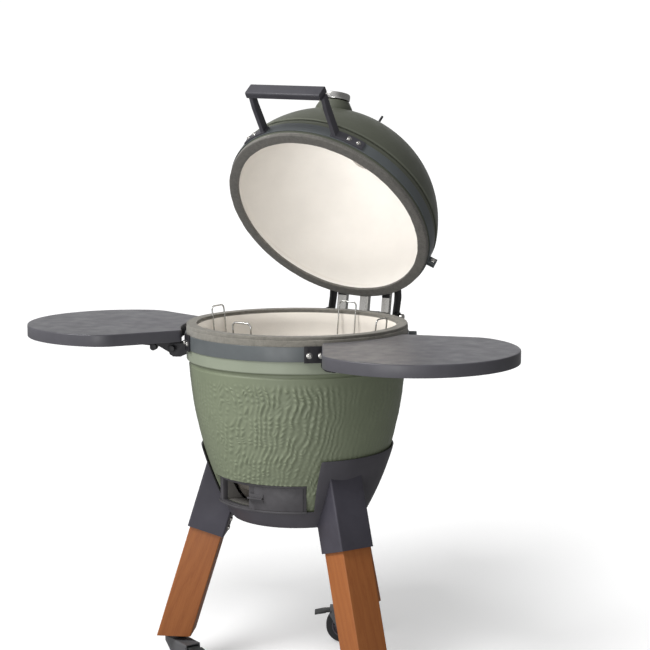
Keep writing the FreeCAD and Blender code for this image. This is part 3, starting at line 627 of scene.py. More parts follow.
# firebox ceramic darkened below its own light grey-beige: painted shade for the dark inside seen
# through the vent
M_FIRE_SHADE = refractory("fire_ceramic", srgb(128, 122, 114), srgb(80, 75, 69), 0.85)
M_FELT = felt("felt", srgb(114, 111, 103), srgb(148, 144, 135))
M_FELT_LID = felt("felt_lid", srgb(98, 96, 91), srgb(134, 131, 125))
M_BAND = powder("band_coat", srgb(94, 99, 101), 0.34, 0.4, 1.5, 0.5)
M_SHELL = powder("cradle_coat", srgb(80, 78, 84), 0.5, 1.0)
M_SOCKET = powder("socket_coat", srgb(70, 68, 77), 0.5, 1.0)
M_SHELF = powder("shelf_coat", srgb(84, 83, 89), 0.36, 1.0, 1.2, 0.5)
M_BRACKET = powder("bracket_coat", srgb(34, 33, 37), 0.5, 1.0)
M_BLACK = powder("black_coat", srgb(30, 30, 32), 0.42, 0.6)
M_HANDLE = powder("handle_coat", srgb(72, 71, 77), 0.42, 0.8)
M_STAINLESS = steel("stainless", srgb(196, 194, 190), 0.26)
M_STRAP = steel("strap_steel", srgb(202, 200, 196), 0.22, (1, 1, 40))
M_BOLT = steel("bolt_steel", srgb(214, 212, 208), 0.18, (1, 1, 1))
M_WIRE = steel("grid_wire", srgb(205, 205, 202), 0.2, (1, 1, 1))
M_SPRING = steel("spring_wire", srgb(150, 150, 150), 0.28, (1, 1, 1))
M_BEZEL = steel("bezel", srgb(214, 213, 210), 0.2, (1, 1, 1))
M_CAST = casting("cast_black", srgb(44, 44, 46))
M_VENT = casting("vent_cast", srgb(66, 64, 67), 0.5)
M_GRATE = casting("grate_iron", srgb(52, 49, 47), 0.6)
M_FORK = powder("fork_coat", srgb(86, 86, 88), 0.42, 0.8)
M_HUB = rubber("hub_plastic", srgb(78, 72, 78), 0.5)
M_TREAD = rubber("tread", srgb(34, 34, 36), 0.6)
M_PEDAL = rubber("pedal_plastic", srgb(46, 48, 48), 0.45)


def dial_mat():
    t = Mat("dial_face")
    c = t.mix(t.range(t.noise(40.0, 3.0), 0.3, 0.7, 0.0, 0.3),
              srgb(236, 235, 228), srgb(222, 220, 210))
    return t.setup(c, 0.45, t.bump(t.noise(500.0, 2.0), 0.05, 0.0002))


def glass_mat():
    t = Mat("gauge_glass")
    n = t.bump(t.noise(12.0, 2.0), 0.02, 0.0003)
    m = t.setup((0.96, 0.98, 0.98, 1), t.range(t.noise(60.0, 3.0), 0.3, 0.7,
                                               0.01, 0.05), n,
                Transmission_Weight=1.0, IOR=1.45)
    return m


M_DIAL, M_GLASS = dial_mat(), glass_mat()


def ink_mat(name, col):
    t = Mat(name)
    c = t.mix(t.range(t.noise(200.0, 3.0), 0.3, 0.7, 0.0, 0.3), col,
              tuple([x * 0.7 for x in col[:3]] + [1.0]))
    return t.setup(c, 0.5, t.bump(t.noise(500.0, 2.0), 0.05, 0.0001))


M_INK = ink_mat("dial_ink", srgb(30, 30, 30))
M_RED = ink_mat("needle_red", srgb(170, 36, 24))

# ---------------------------------------------------------------------------
# Bowl: outside glaze with its bark-like relief, the vent cut through it
# ---------------------------------------------------------------------------
NA = 960
da = 360.0 / NA


def relief(az, z, r):
    """Broken, wavy, pebbled ridges; az in radians, z and r in mm."""
    x, y = r * np.sin(az), -r * np.cos(az)
    p = np.stack([x, y, z], -1)
    w1 = vnoise(p / np.array([95.0, 95.0, 90.0]), 3)
    w2 = vnoise(p / np.array([36.0, 36.0, 40.0]), 7)
    w3 = vnoise(p / np.array([14.0, 14.0, 16.0]), 11)
    deg = (np.degrees(az) + 180) % 360 - 180
    az_ = np.radians(deg)
    drop = -104.0 - z
    # 104 whole ridges round the bowl; they lean over towards the bottom
    ph = (104.0 * az_ + 2 * math.pi * (0.00075 * drop ** 2) / 15.5
          + 4.6 * w1 + 2.5 * w2 + 1.1 * w3)
    k = np.round(ph / (2 * math.pi))
    s = 0.5 + 0.5 * np.cos(ph)
    s = s ** 0.9
    jit = np.mod(np.sin(k * 12.9898) * 43758.5453, 1.0)
    lng = z / 15.0 + jit * 3.0 + 1.2 * w2 + 0.7 * w3
    peb = 0.5 + 0.5 * np.cos(2 * math.pi * lng)
    low = np.clip((drop - 205) / 60.0, 0, 1)
    left = np.clip((26 - deg) / 40.0, 0, 1)
    amount = np.clip(0.62 + 0.30 * low + 0.28 * left, 0, 0.93)
    brk = np.clip(0.75 + 0.7 * vnoise(p / np.array([24.0, 24.0, 26.0]), 21), 0.1, 1.0)
    fin = vnoise(p / np.array([6.5, 6.5, 6.5]), 31)
    h = 3.8 * s * (1 - amount + amount * peb) * brk + 0.30 * fin
    m = np.clip((deg + 52) / 66.0, 0.0, 1.0)
    m = m * m * (3 - 2 * m)
    m = np.where(deg > 40, 1 - 0.88 * np.clip((deg - 40) / 20.0, 0, 1), m)
    m = 0.12 + 0.88 * m
    m = np.where(np.abs(deg) > 120, 0.18, m)
    edge = np.clip((-112 - z) / 26.0, 0, 1) * np.clip((z + 486) / 20.0, 0, 1)
    edge = edge * edge * (3 - 2 * edge)
    return h * m * edge - 1.1 * edge * m


zs_body = np.unique(np.round(np.concatenate([
    np.linspace(-104, -376, 126), np.linspace(-376, -386, 6),
    np.linspace(-386, -440, 26), np.linspace(-440, -450, 6),
    np.linspace(-450, -487, 18)]), 3))[::-1]
tab = smooth_tab(BOWL_OUT, 400)
r_body = np.interp(zs_body[::-1], tab[::-1, 1], tab[::-1, 0])[::-1]
top = soften([(252.5, -8), (280, -8), (280, -30), (280, -88.5), (278.6, -90.5),
              (272, -93.5), (272, -100), (274, -103.9)],
             [2.5, 2.5, 0.4, 0.8, 0.8, 2.0, 2.0, 0.6], 4)
# the outline that runs from the inside of the rim out and down to the groove
upper = [p for p in top]
g = Geo()
az = np.radians(np.arange(NA) * da)
rows = upper + list(zip(r_body, zs_body)) + [(164.5, -489.5), (160, -490), (0.0, -490)]
nr = len(rows)
nup = len(upper)
R = np.zeros((nr, NA))
Zz = np.zeros((nr, NA))
for i, (r, z) in enumerate(rows):
    R[i] = r
    Zz[i] = z
AZ = np.broadcast_to(az, (nr, NA))
R[nup:nup + len(zs_body)] += relief(AZ[nup:nup + len(zs_body)],
                                    Zz[nup:nup + len(zs_body)],
                                    R[nup:nup + len(zs_body)])
# hold the relief inside the design's outline
R[nup:nup + len(zs_body)] = np.minimum(R[nup:nup + len(zs_body)],
                                       np.array(r_body)[:, None] + 2.3)
zi = np.concatenate([np.linspace(-60, -386, 48), np.linspace(-386, -440, 10)[1:],
                     np.linspace(-440, -450, 3)[1:]])
tabi = smooth_tab(BOWL_IN, 300)
ri = np.interp(zi[::-1], tabi[::-1, 1], tabi[::-1, 0])[::-1]
inner = [(252.5, -11), (252.5, -40)] + list(zip(ri, zi)) + [(138, -453.5), (131, -457.5),
                                               (120, -460.8), (108, -462), (0.0, -462)]
ni = len(inner)


def deg_of(j):
    return ((j + 0.5) * da + 180) % 360 - 180


def vid(i, j):
    return i * NA + (j % NA)


V = np.stack([R * np.sin(AZ), -R * np.cos(AZ), Zz], -1).reshape(-1, 3)
AI = np.broadcast_to(az, (ni, NA))
RI = np.repeat(np.array([p[0] for p in inner])[:, None], NA, 1)
ZI = np.repeat(np.array([p[1] for p in inner])[:, None], NA, 1)
VI = np.stack([RI * np.sin(AI), -RI * np.cos(AI), ZI], -1).reshape(-1, 3)
base_i = len(V)
pocket = {}
extra = []
F, FM = [], []


def in_pocket(z0, z1, d):
    zc = (z0 + z1) / 2
    return -450 < zc < -376 and -39 < d < 39


def in_window(z0, z1, d):
    zc = (z0 + z1) / 2
    return -440 < zc < -386 and -33 < d < -3


def pv(i, j):
    k = (i, j % NA)
    if k not in pocket:
        r = min(192.0, R[i, j % NA] - 0.5)
        a = az[j % NA]
        pocket[k] = base_i + ni * NA + len(extra)
        extra.append((r * math.sin(a), -r * math.cos(a), rows[i][1]))
    return pocket[k]


for i in range(nr - 1):
    z0, z1 = rows[i][1], rows[i + 1][1]
    for j in range(NA):
        d = deg_of(j)
        if i >= nup - 1 and in_pocket(z0, z1, d):
            if not in_window(z0, z1, d):
                F.append((pv(i, j), pv(i + 1, j), pv(i + 1, j + 1), pv(i, j + 1)))
                FM.append(0)
        else:
            F.append((vid(i, j), vid(i + 1, j), vid(i + 1, j + 1), vid(i, j + 1)))
            FM.append(0)
# walls of the pocket
for i in range(nup - 1, nr - 1):
    z0, z1 = rows[i][1], rows[i + 1][1]
    for j in range(NA):
        d = deg_of(j)
        if not in_pocket(z0, z1, d):
            continue
        dl, dr = deg_of(j - 1), deg_of(j + 1)
        if not in_pocket(z0, z1, dl):
            F.append((vid(i, j), vid(i + 1, j), pv(i + 1, j), pv(i, j)))
            FM.append(0)
        if not in_pocket(z0, z1, dr):
            F.append((vid(i, j + 1), pv(i, j + 1), pv(i + 1, j + 1), vid(i + 1, j + 1)))
            FM.append(0)
        if not in_pocket(rows[i - 1][1], z0, d):
            F.append((vid(i, j), pv(i, j), pv(i, j + 1), vid(i, j + 1)))
            FM.append(0)
        if not in_pocket(z1, rows[min(i + 2, nr - 1)][1], d):
            F.append((vid(i + 1, j), vid(i + 1, j + 1), pv(i + 1, j + 1), pv(i + 1, j)))
            FM.append(0)
# inside of the bowl
for i in range(ni - 1):
    z0, z1 = inner[i][1], inner[i + 1][1]
    for j in range(NA):
        d = deg_of(j)
        if in_window(z0, z1, d):
            continue
        a, b = base_i + vid(i, j), base_i + vid(i, j + 1)
        c, e = base_i + vid(i + 1, j + 1), base_i + vid(i + 1, j)
        F.append((a, b, c, e))
        FM.append(1)
# joins the rim's inner edge to the inside
for j in range(NA):
    F.append((vid(0, j), vid(0, j + 1), base_i + vid(0, j + 1), base_i + vid(0, j)))
    FM.append(1)


# walls of the window, from the pocket floor to the inside face
def ring_of_window(rowlist, offs, vert):
    ks = [k for k in range(len(rowlist)) if -440.001 <= rowlist[k][1] <= -385.999]
    js = list(range(int(round((360 - 33) / da)), int(round((360 - 3) / da)) + 1))
    loop = [(ks[0], j) for j in js] + [(k, js[-1]) for k in ks[1:]]
    loop += [(ks[-1], j) for j in reversed(js[:-1])]
    loop += [(k, js[0]) for k in reversed(ks[1:-1])]
    return [vert(k, j) for k, j in loop], ks, js


allv = None
lo_, ko, jo = ring_of_window(rows, 0, pv)
li_, ki, ji = ring_of_window(inner, 0, lambda k, j: base_i + vid(k, j))
VX = np.array(extra)
V_all = np.concatenate([V, VI, VX])


def side(verts_o, verts_i):
    """Faces between two rows of points that share their ends."""
    a, b = 0, 0
    while a < len(verts_o) - 1 or b < len(verts_i) - 1:
        fa = (a + 1) / max(1, len(verts_o) - 1)
        fb = (b + 1) / max(1, len(verts_i) - 1)
        if b >= len(verts_i) - 1 or (a < len(verts_o) - 1 and fa <= fb + 1e-9):
            F.append((verts_o[a], verts_o[a + 1], verts_i[b]))
            a += 1
        else:
            F.append((verts_o[a], verts_i[b + 1], verts_i[b]))
            b += 1
        FM.append(1)


n_wall = len(FM)
side([pv(ko[0], j) for j in jo], [base_i + vid(ki[0], j) for j in ji])
side([pv(ko[-1], j) for j in jo], [base_i + vid(ki[-1], j) for j in ji])
side([pv(k, jo[0]) for k in ko], [base_i + vid(k, ji[0]) for k in ki])
side([pv(k, jo[-1]) for k in ko], [base_i + vid(k, ji[-1]) for k in ki])
g = Geo()
# the felt's bonded skirt: the strip above the band
for k_, f_ in enumerate(F):
    if FM[k_] == 0 and all(-30.5 < V_all[q_][2] < -6.0 for q_ in f_):
        FM[k_] = 3
    # the upright strip round the band takes the lighter glaze copy, which is partly painted light
    elif FM[k_] == 0 and all(-91.0 < V_all[q_][2] < -28.0 for q_ in f_):
        FM[k_] = 4
# the window's walls are the last faces added; they take the grey that is painted shade
FM[n_wall:] = [2] * (len(FM) - n_wall)
g.add(V_all, F, FM)
build("bowl_body", g, [M_GREEN, M_BOWL_IN, M_WINDOW_SHADE, M_FELT, M_GREEN_RIM_LIT], "stand", ("bowl",), angle=50,
      merge=1e-6)


# ---------------------------------------------------------------------------
# Gaskets and bands
# ---------------------------------------------------------------------------
def wavy_ring(name, prof, mat, body, repl, amp, seed, lid=False, steps=720):
    g = Geo()
    lathe(g, prof, steps)
    v = g.verts()
    n1 = vnoise(v / 26.0, seed)
    n2 = vnoise(v / 7.0, seed + 1)
    rad = np.hypot(v[:, 0], v[:, 1])
    k = 1 + (n1 * amp + n2 * amp * 0.5) / rad
    v[:, 0] *= k
    v[:, 1] *= k
    v[:, 2] += (vnoise(v / 18.0, seed + 2) * 0.5 - 0.5) * amp * 0.5 * np.where(
        v[:, 2] > np.mean([p[1] for p in prof]), 1, -1)
    g.v = [v]
    return build(name, g, [mat], body, repl, lid=lid, angle=60)


wavy_ring("bowl_felt", soften([(253.2, -8), (253.2, -0.4), (279.2, -0.4), (279.2, -8)],
                              [0.3, 3, 3, 0.3], 5), M_FELT, "stand",
          ("bowl_gasket",), 0.5, 5)
wavy_ring("lid_felt", soften([(253.2, 8), (253.2, 0.8), (279.2, 0.8), (279.2, 8)],
                             [0.3, 3, 3, 0.3], 5), M_FELT_LID, "lid",
          ("lid_gasket",), 0.5, 15, lid=True)


def band(name, z0, z1, body, repl, lid=False):
    """Rolled strip, split at the clamp, its two ends turned outwards."""
    g = Geo()
    gap = math.degrees(3.05 / 281.5)
    a0, n = 124.0 + gap, 360
    sec = soften([(280.02, z0), (283, z0), (283, z1), (280.02, z1)], 1.0, 4)
    sec = [(float(r), float(z)) for r, z in sec]
    m = len(sec)
    v, f = [], []
    for i in range(n + 1):
        q = math.radians(a0 + (360.0 - 2 * gap) * i / n)
        for r, z in sec:
            v.append((r * math.sin(q), -r * math.cos(q), z))
    for i in range(n):
        for k in range(m):
            k2 = (k + 1) % m
            f.append((i * m + k, (i + 1) * m + k, (i + 1) * m + k2, i * m + k2))
    f.append(tuple(range(m)))
    f.append(tuple(n * m + k for k in reversed(range(m))))
    g.add(v, f, 0)
    q = math.radians(124.0)
    M = np.array([[math.sin(q), math.cos(q), 0], [-math.cos(q), math.sin(q), 0], [0, 0, 1.0]])
    for sg in (-1, 1):
        lo = np.array([281.8, sg * 4.5 - 1.45, z0 + 3.05])
        hi = np.array([302.9, sg * 4.5 + 1.45, z1 - 3.05])
        t = Geo()
        rbox(t, lo, hi, 0.7)
        tv = t.verts() @ M.T
        g.add(tv, t.f, 0)
    return build(name, g, [M_BAND], body, repl, lid=lid)


band("bowl_band_coated", -60, -24, "stand", ("bowl_band",))
band("lid_band_coated", 17, 45, "lid", ("lid_band",), True)


# ---------------------------------------------------------------------------
# Lid dome
# ---------------------------------------------------------------------------
def dome_r(h, R0=290.0, H0=268.9):
    return R0 * max(0.0, 1 - (h / H0) ** 1.9) ** (1 / 2.4)


def radial_samples(fn, H0, h0, rmin, n):
    """(r, h) along the dome from h0 up to radius rmin, evenly by arc."""
    t = np.linspace(0, 1, 4000)
    h = h0 + (H0 - h0) * (1 - (1 - t) ** 3)
    r = np.array([fn(x) for x in h])
    keep = r >= rmin
    h, r = h[keep], r[keep]
    s = np.concatenate([[0], np.cumsum(np.hypot(np.diff(h), np.diff(r)))])
    q = np.linspace(0, s[-1], n)
    return list(zip(np.interp(q, s, r), np.interp(q, s, h)))


outer_d = radial_samples(dome_r, 268.9, 66.0, 38.0, 90)
inner_d = radial_samples(lambda h: dome_r(h, 258.0, 242.9), 242.9, 24.0, 38.0, 80)
rim = soften([(252.5, 16), (252.5, 8), (280, 8), (280, 58), (275.4, 60.6),
              (275.4, 63.4), (outer_d[0][0] - 1.0, 65.0)],
             [3, 2, 2.5, 1.2, 1.2, 1.2, 1.5], 4)
prof = rim + outer_d + list(reversed(inner_d))
n_green = len(rim) + len(outer_d)
i_rim = next(i for i, p in enumerate(rim) if p[0] > 270)
mats = []
for i in range(len(prof)):
    low = (prof[i][1] + prof[(i + 1) % len(prof)][1]) / 2 < 17.5
    if i_rim - 1 <= i < n_green - 1:
        mats.append(2 if low else 0)
    else:
        mats.append(1)
g = Geo()
lathe(g, prof, 480, mats)
v = g.verts()
rad = np.hypot(v[:, 0], v[:, 1])
k = 1 + 0.35 * vnoise(v / 70.0, 51) / np.maximum(rad, 60)
v[:, 0] *= k
v[:, 1] *= k
g.v = [v]
TN = np.array([0, -0.62, 0.785])
TN /= np.linalg.norm(TN)
TF = np.array([0, -221.0, 237.0])
TS = TF - 36 * TN
# thermometer seat: low cone blended into the dome by a small fillet
seat = [(0, -16), (50, -16), (48.5, -6), (46.6, 0), (44.2, 4.5), (41.5, 9), (39.5, 13),
        (38.2, 15.0), (36.5, 16.0), (14.0, 16.0), (0, 16.0)]
turn(g, seat, TS, TN, 96, 0)
build("lid_body", g, [M_GREEN_LID_SHADE, M_CREAM, M_FELT_LID], "lid", ("lid_dome",), lid=True,
      angle=40)

# ---------------------------------------------------------------------------
# Thermometer
# ---------------------------------------------------------------------------
g = Geo()
turn(g, [(0, 15.8), (15, 15.8), (15, 18.2), (34, 18.2), (37.2, 19.4), (38, 21.5),
         (38, 33.0), (37.4, 35.0), (36.2, 36.0), (35.2, 35.8), (34.6, 34.6),
         (34.4, 31.2), (0, 31.2)], TS, TN, 96, 0)
turn(g, [(0, 16), (3.0, 16), (3.0, -93.5), (2.2, -95), (0, -95)], TS, TN, 20, 0)
for t in (24.0, 27.0, 30.0):
    turn(g, [(37.6, t - .8), (38.3, t - .4), (38.3, t + .4), (37.6, t + .8)], TS, TN, 96, 0)
build("thermometer_bezel", g, [M_BEZEL], "lid", ("thermometer_case",), lid=True)
g = Geo()
turn(g, [(0, 31.3), (34.3, 31.3), (34.3, 32.0), (0, 32.0)], TS, TN, 96, 0)
u, w, d = basis(TN)
up = np.array([0, 1, 0]) - TN * TN[1]
up /= np.linalg.norm(up)
sidev = np.cross(up, TN)


def dial_bar(a, r0, r1, wd, m, t0=32.0, t1=32.25):
    a = math.radians(a)
    e = math.cos(a) * up + math.sin(a) * sidev
    s = -math.sin(a) * up + math.cos(a) * sidev
    q = []
    for t in (t0, t1):
        for r, sg in ((r0, -1), (r1, -1), (r1, 1), (r0, 1)):
            q.append(TS + TN * t + e * r + s * wd * sg / 2)
    g.add(q, [(0, 1, 2, 3), (7, 6, 5, 4), (0, 4, 5, 1), (1, 5, 6, 2), (2, 6, 7, 3),
              (3, 7, 4, 0)], m)


for i in range(31):
    dial_bar(-135 + 9 * i, 27.5 if i % 5 else 25.0, 31.5, 0.5 if i % 5 else 1.1, 1)
for i in range(10):
    dial_bar(70 + 7 * i, 21.5, 23.5, 2.4, 2)
dial_bar(-128, -6, 24, 1.3, 2, 32.5, 33.0)
turn(g, [(0, 32.2), (2.6, 32.2), (2.6, 33.4), (0, 33.6)], TS, TN, 24, 1)
build("thermometer_dial_face", g, [M_DIAL, M_INK, M_RED], "lid",
      ("thermometer_dial",), lid=True)
g = Geo()
turn(g, [(0, 33.9), (34.2, 33.9), (34.2, 34.6), (24, 35.3), (12, 35.7), (0, 35.8)],
     TS, TN, 96, 0)
build("thermometer_glass", g, [M_GLASS], "lid", ("thermometer_lens",), lid=True)


# ---------------------------------------------------------------------------
# Cooking grid: round bars welded to a ring, four upright wire grips
# ---------------------------------------------------------------------------
GZ = -84.0
g = Geo()
a = np.linspace(0, 2 * math.pi, 181)[:-1]
sweep(g, np.stack([234 * np.cos(a), 234 * np.sin(a), np.full_like(a, GZ + 2.6)], 1),
      2.6, 14, True)
for i in range(-11, 12):
    x = i * 20.0
    w_ = math.sqrt(max(0.0, 234.0 ** 2 - x * x))
    sweep(g, [(x, -w_, GZ + 2.4), (x, -w_ * .5, GZ + 2.4), (x, 0, GZ + 2.4),
              (x, w_ * .5, GZ + 2.4), (x, w_, GZ + 2.4)], 2.2, 10)
for y in (-110, 110):
    w_ = math.sqrt(234.0 ** 2 - y * y)
    sweep(g, [(-w_, y, GZ + 2.6), (0, y, GZ + 2.6), (w_, y, GZ + 2.6)], 2.6, 12)
for k in range(4):
    c_, s_ = math.cos(k * math.pi / 2), math.sin(k * math.pi / 2)
    pts = [(-26, GZ + 3), (-26, GZ + 14), (-26, -20), (-26, 10)]
    for t in np.linspace(0, math.pi / 2, 7):
        pts.append((-26 + 10 * (1 - math.cos(t)), 14.0 + 10 * math.sin(t)))
    pts += [(-8, 24.0), (8, 24.0)]
    for t in np.linspace(0, math.pi / 2, 7):
        pts.append((16 + 10 * math.sin(t), 24.0 - 10 * (1 - math.cos(t))))
    pts += [(26, 10), (26, -20), (26, GZ + 14), (26, GZ + 3)]
    path = []
    for t, z in pts:
        rr = 236.0 + 11.0 * max(0.0, (z - GZ - 14) / (24.0 - GZ - 14))
        path.append((rr * c_ - t * s_, rr * s_ + t * c_, z))
    sweep(g, path, 2.0, 12)
build("cooking_grid_wire", g, [M_WIRE], "cooking_grid", ("cooking_grid",), angle=60)

# ---------------------------------------------------------------------------
# Hinge springs, bolts, screws
# ---------------------------------------------------------------------------
g = Geo()
for x0, x1 in ((-54.0, -13.0), (15.0, 55.0)):
    turns = int((x1 - x0) / 3.9)
    n = turns * 20
    pts = []
    for i in range(n + 1):
        q = 2 * math.pi * turns * i / n
        x = x0 + 1.8 + (x1 - x0 - 3.6) * i / n
        pts.append((x, YH + 9.6 * math.cos(q), ZH + 9.6 * math.sin(q)))
    sweep(g, pts, 1.7, 10)
build("hinge_spring_coils", g, [M_SPRING], "stand", ("hinge_springs",), angle=60)


def radial(az_deg, r, z):
    q = math.radians(az_deg)
    d_ = np.array([math.sin(q), -math.cos(q), 0.0])
    return d_ * r + np.array([0, 0, z]), d_


g = Geo()
for s_ in (1, -1):
    for q in (38.6, 44.2, 94.0, 99.6):
        p_, d_ = radial(s_ * q, 287.0, -44.0)
        bolt(g, p_, d_, 5.6, 3.4)
for q in (-13, 0, 13):
    p_, d_ = radial(180 + q, 287.0, -42.0)
    bolt(g, p_, d_, 5.6, 3.4)


def clamp_bolt(g, z):
    q = math.radians(124.0)
    e_ = np.array([math.sin(q), -math.cos(q), 0.0])
    t_ = np.array([math.cos(q), math.sin(q), 0.0])
    c_ = e_ * 294.0 + np.array([0, 0, z])
    turn(g, [(0, -13), (2.6, -13), (3, -12.6), (3, 12.6), (2.6, 13), (0, 13)], c_, t_, 20)
    turn(g, [(3, -10.4), (6.0, -10.4), (6.4, -10.0), (6.4, -6.1), (3, -6.1)], c_, t_, 6)
    turn(g, [(3, 6.1), (6.3, 6.1), (6.3, 8.6), (5.6, 10.4), (4.0, 11.3), (3, 11.4)], c_, t_, 32)


clamp_bolt(g, -42.0)
build("bowl_band_screws", g, [M_BOLT], "stand", ("band_bolts",))
g = Geo()
for s_ in (1, -1):
    for q in (29.0, 34.0):
        p_, d_ = radial(s_ * q + 2.0, 287.0, 31.0)
        bolt(g, p_, d_, 4.8, 3.2)
clamp_bolt(g, 31.0)
build("lid_band_screws", g, [M_BOLT], "lid", ("lid_band_bolts",), lid=True)
g = Geo()
for q in (-22.3, 22.3):
    p_, d_ = radial(180 + q, 287.0, 31.0)
    turn(g, [(0, 0), (9.2, 0), (9.2, 1.2), (8.6, 1.6), (0, 1.6)], p_, d_, 32)
    turn(g, [(7.2, 1.6), (7.2, 6.2), (6.6, 7.2), (5.0, 8.0), (0, 8.2)], p_, d_, 6)
build("hinge_lid_screws", g, [M_BLACK], "lid", ("hinge_lid_bolts",), lid=True)
g = Geo()
HT = math.radians(2.0)
HM = np.array([[math.cos(HT), -math.sin(HT), 0], [math.sin(HT), math.cos(HT), 0],
               [0, 0, 1.0]])
for x in (-101.0, 97.0):
    bolt(g, HM @ np.array((x, -382, 60.0 - 1.6)), HM @ np.array((0, 0, 1.0)), 3.6, 1.4,
         washer=False)
    bolt(g, HM @ np.array((x, -391 + 1.4, 42.0)), HM @ np.array((0, -1.0, 0)), 3.4, 1.3,
         washer=False)
build("handle_screws", g, [M_BOLT], "lid", (), lid=True)
g = Geo()
SLOPES = {"front_left": (-64.5, 0.31), "front_right": (64.5, 0.31),
          "rear": (181.5, 0.355)}
for n_, (q, sl) in SLOPES.items():
    t_ = math.atan(sl)
    a_ = math.radians(q - 90)
    er = np.array([math.cos(a_), math.sin(a_), 0])
    ax = np.array([0, 0, 1.0]) * math.cos(t_) - er * math.sin(t_)
    ex = er * math.cos(t_) + np.array([0, 0, 1.0]) * math.sin(t_)
    o_ = er * 236.4 + np.array([0, 0, -553.0])
    for h_ in (28, 52):
        bolt(g, o_ + ax * h_ - ex * 48.5, -ex, 6.4, 3.6)
build("leg_screws", g, [M_BOLT], "stand", ("leg_bolts",))

# ---------------------------------------------------------------------------
# Wheels
# ---------------------------------------------------------------------------
FEET = {"front_left": (-289.1974, -137.9401, 0.920, -0.392),
        "front_right": (289.1974, -137.9401, 0.30, 0.954),
        "rear": (-8.7066, 332.491, -0.849, -0.529)}
for n_, (cx, cy, dx, dy) in FEET.items():
    ln = math.hypot(dx, dy)
    dx, dy = dx / ln, dy / ln
    p_ = np.array([cx + 48 * dx, cy + 48 * dy, 47.0 - ZR])
    d_ = np.array([-dy, dx, 0])
    g = Geo()
    t_out = [(31, -16), (40, -16)]
    for q in np.linspace(0, math.pi / 2, 6):
        t_out.append((42.4 + 4.4 * math.sin(q), -11.6 - 4.4 * math.cos(q)))
    for c0 in (-6.0, 0.0, 6.0):
        t_out += [(47.0, c0 - 1.6), (46.0, c0 - 1.0), (46.0, c0 + 1.0), (47.0, c0 + 1.6)]
    for q in np.linspace(math.pi / 2, 0, 6):
        t_out.append((42.4 + 4.4 * math.sin(q), 11.6 + 4.4 * math.cos(q)))
    t_out += [(40, 16), (31, 16)]
    turn(g, t_out, p_, d_, 96, 0, closed=True)
    build("tread_" + n_, g, [M_TREAD], "wheel_" + n_, ("wheel_tyre_" + n_,))
    g = Geo()
    core = [(4.3, -15.6), (10, -15.6), (11, -14.6), (11.6, -9.2), (13, -8.4),
            (24.5, -8.4), (26.0, -9.4), (27.4, -14.8), (28.4, -15.6), (30.9, -15.6),
            (30.9, 15.6), (28.4, 15.6), (27.4, 14.8), (26.0, 9.4), (24.5, 8.4),
            (13, 8.4), (11.6, 9.2), (11, 14.6), (10, 15.6), (4.3, 15.6)]
    turn(g, core, p_, d_, 96, 0, closed=True)
    u_, w_, _ = basis(d_)
    for k in range(6):
        q = math.pi * k / 3
        e_ = math.cos(q) * u_ + math.sin(q) * w_
        s_ = -math.sin(q) * u_ + math.cos(q) * w_
        for sg in (-1, 1):
            a0_, b0_ = (8.2, 13.4)
            pts = []
            for t in (a0_, b0_):
                for r, x in ((10.6, -1.6), (27.2, -1.3), (27.2, 1.3), (10.6, 1.6)):
                    pts.append(p_ + d_ * t * sg + e_ * r + s_ * x)
            g.add(pts, [(0, 1, 2, 3), (7, 6, 5, 4), (0, 4, 5, 1), (1, 5, 6, 2),
                        (2, 6, 7, 3), (3, 7, 4, 0)], 0)
    build("wheel_core_" + n_, g, [M_HUB], "wheel_" + n_, ("wheel_hub_" + n_,))
    fine("caster_fork_" + n_, M_FORK, 0.7)
    fine("caster_axle_" + n_, M_BOLT, 0.6)
    fine("caster_mount_" + n_, M_BLACK, 1.0)
    fine("brake_pedal_" + n_, M_PEDAL, 1.0)

# ---------------------------------------------------------------------------
# Pieces that keep their CAD form, with broken edges and a real finish
# ---------------------------------------------------------------------------
fine("cradle_shell", M_SHELL, 0.7, angle=50, dissolve=0, sharp=40)
for n_, (q, sl) in SLOPES.items():
    fine("leg_socket_" + n_, M_SOCKET, 0.8, angle=35)
    rz = -math.radians(q - 90)
    # turns the leg's own axis upright, so the grain can follow it
    m_ = Matrix.Rotation(-math.atan(sl), 4, "Y").inverted() @ Matrix.Rotation(
        math.radians(q - 90), 4, "Z").inverted()
    e_ = m_.to_euler("XYZ")
    fine("leg_" + n_, timber("timber_" + n_, tuple(e_), 1 + len(n_)), 0.8,
         angle=40)
fine("vent_frame", M_VENT, 1.0)
fine("vent_door", M_VENT, 0.9)
# firebox and fire ring in the darkened grey that is painted shade
fine("firebox", M_FIRE_SHADE, 2.0, angle=40)
fine("fire_ring", M_FIRE_SHADE, 2.5, angle=40)
fine("charcoal_grate", M_GRATE, 0.9)
fine("hinge_bowl_bracket", M_BLACK, 0.7)
fine("hinge_axle", M_BOLT, 0.7)
fine("hinge_lid_bracket", [M_STRAP, M_BLACK], 0.7,
     pick=lambda c: int(abs(c[0]) > 97.0 or (c[1] < 289.0 and c[2] > 17.0)))
fine("shelf_bracket_left", M_BRACKET, 0.7)
fine("shelf_bracket_right", M_BRACKET, 0.7)
fine("shelf_arms_left", M_BRACKET, 0.7)
fine("shelf_arms_right", M_BRACKET, 0.7)
fine("shelf_pins", M_BLACK, 0.8)
fine("shelf_top_left", M_SHELF, 0.6, angle=45)
fine("shelf_top_right", M_SHELF, 0.6, angle=45)
fine("handle_arms", M_HANDLE, 0.9)
fine("handle_grip", M_HANDLE, 0.8)
fine("chimney_base", M_CAST, 1.0)
fine("chimney_cap", M_CAST, 0.7)
fine("daisy_wheel", M_CAST, 0.7)

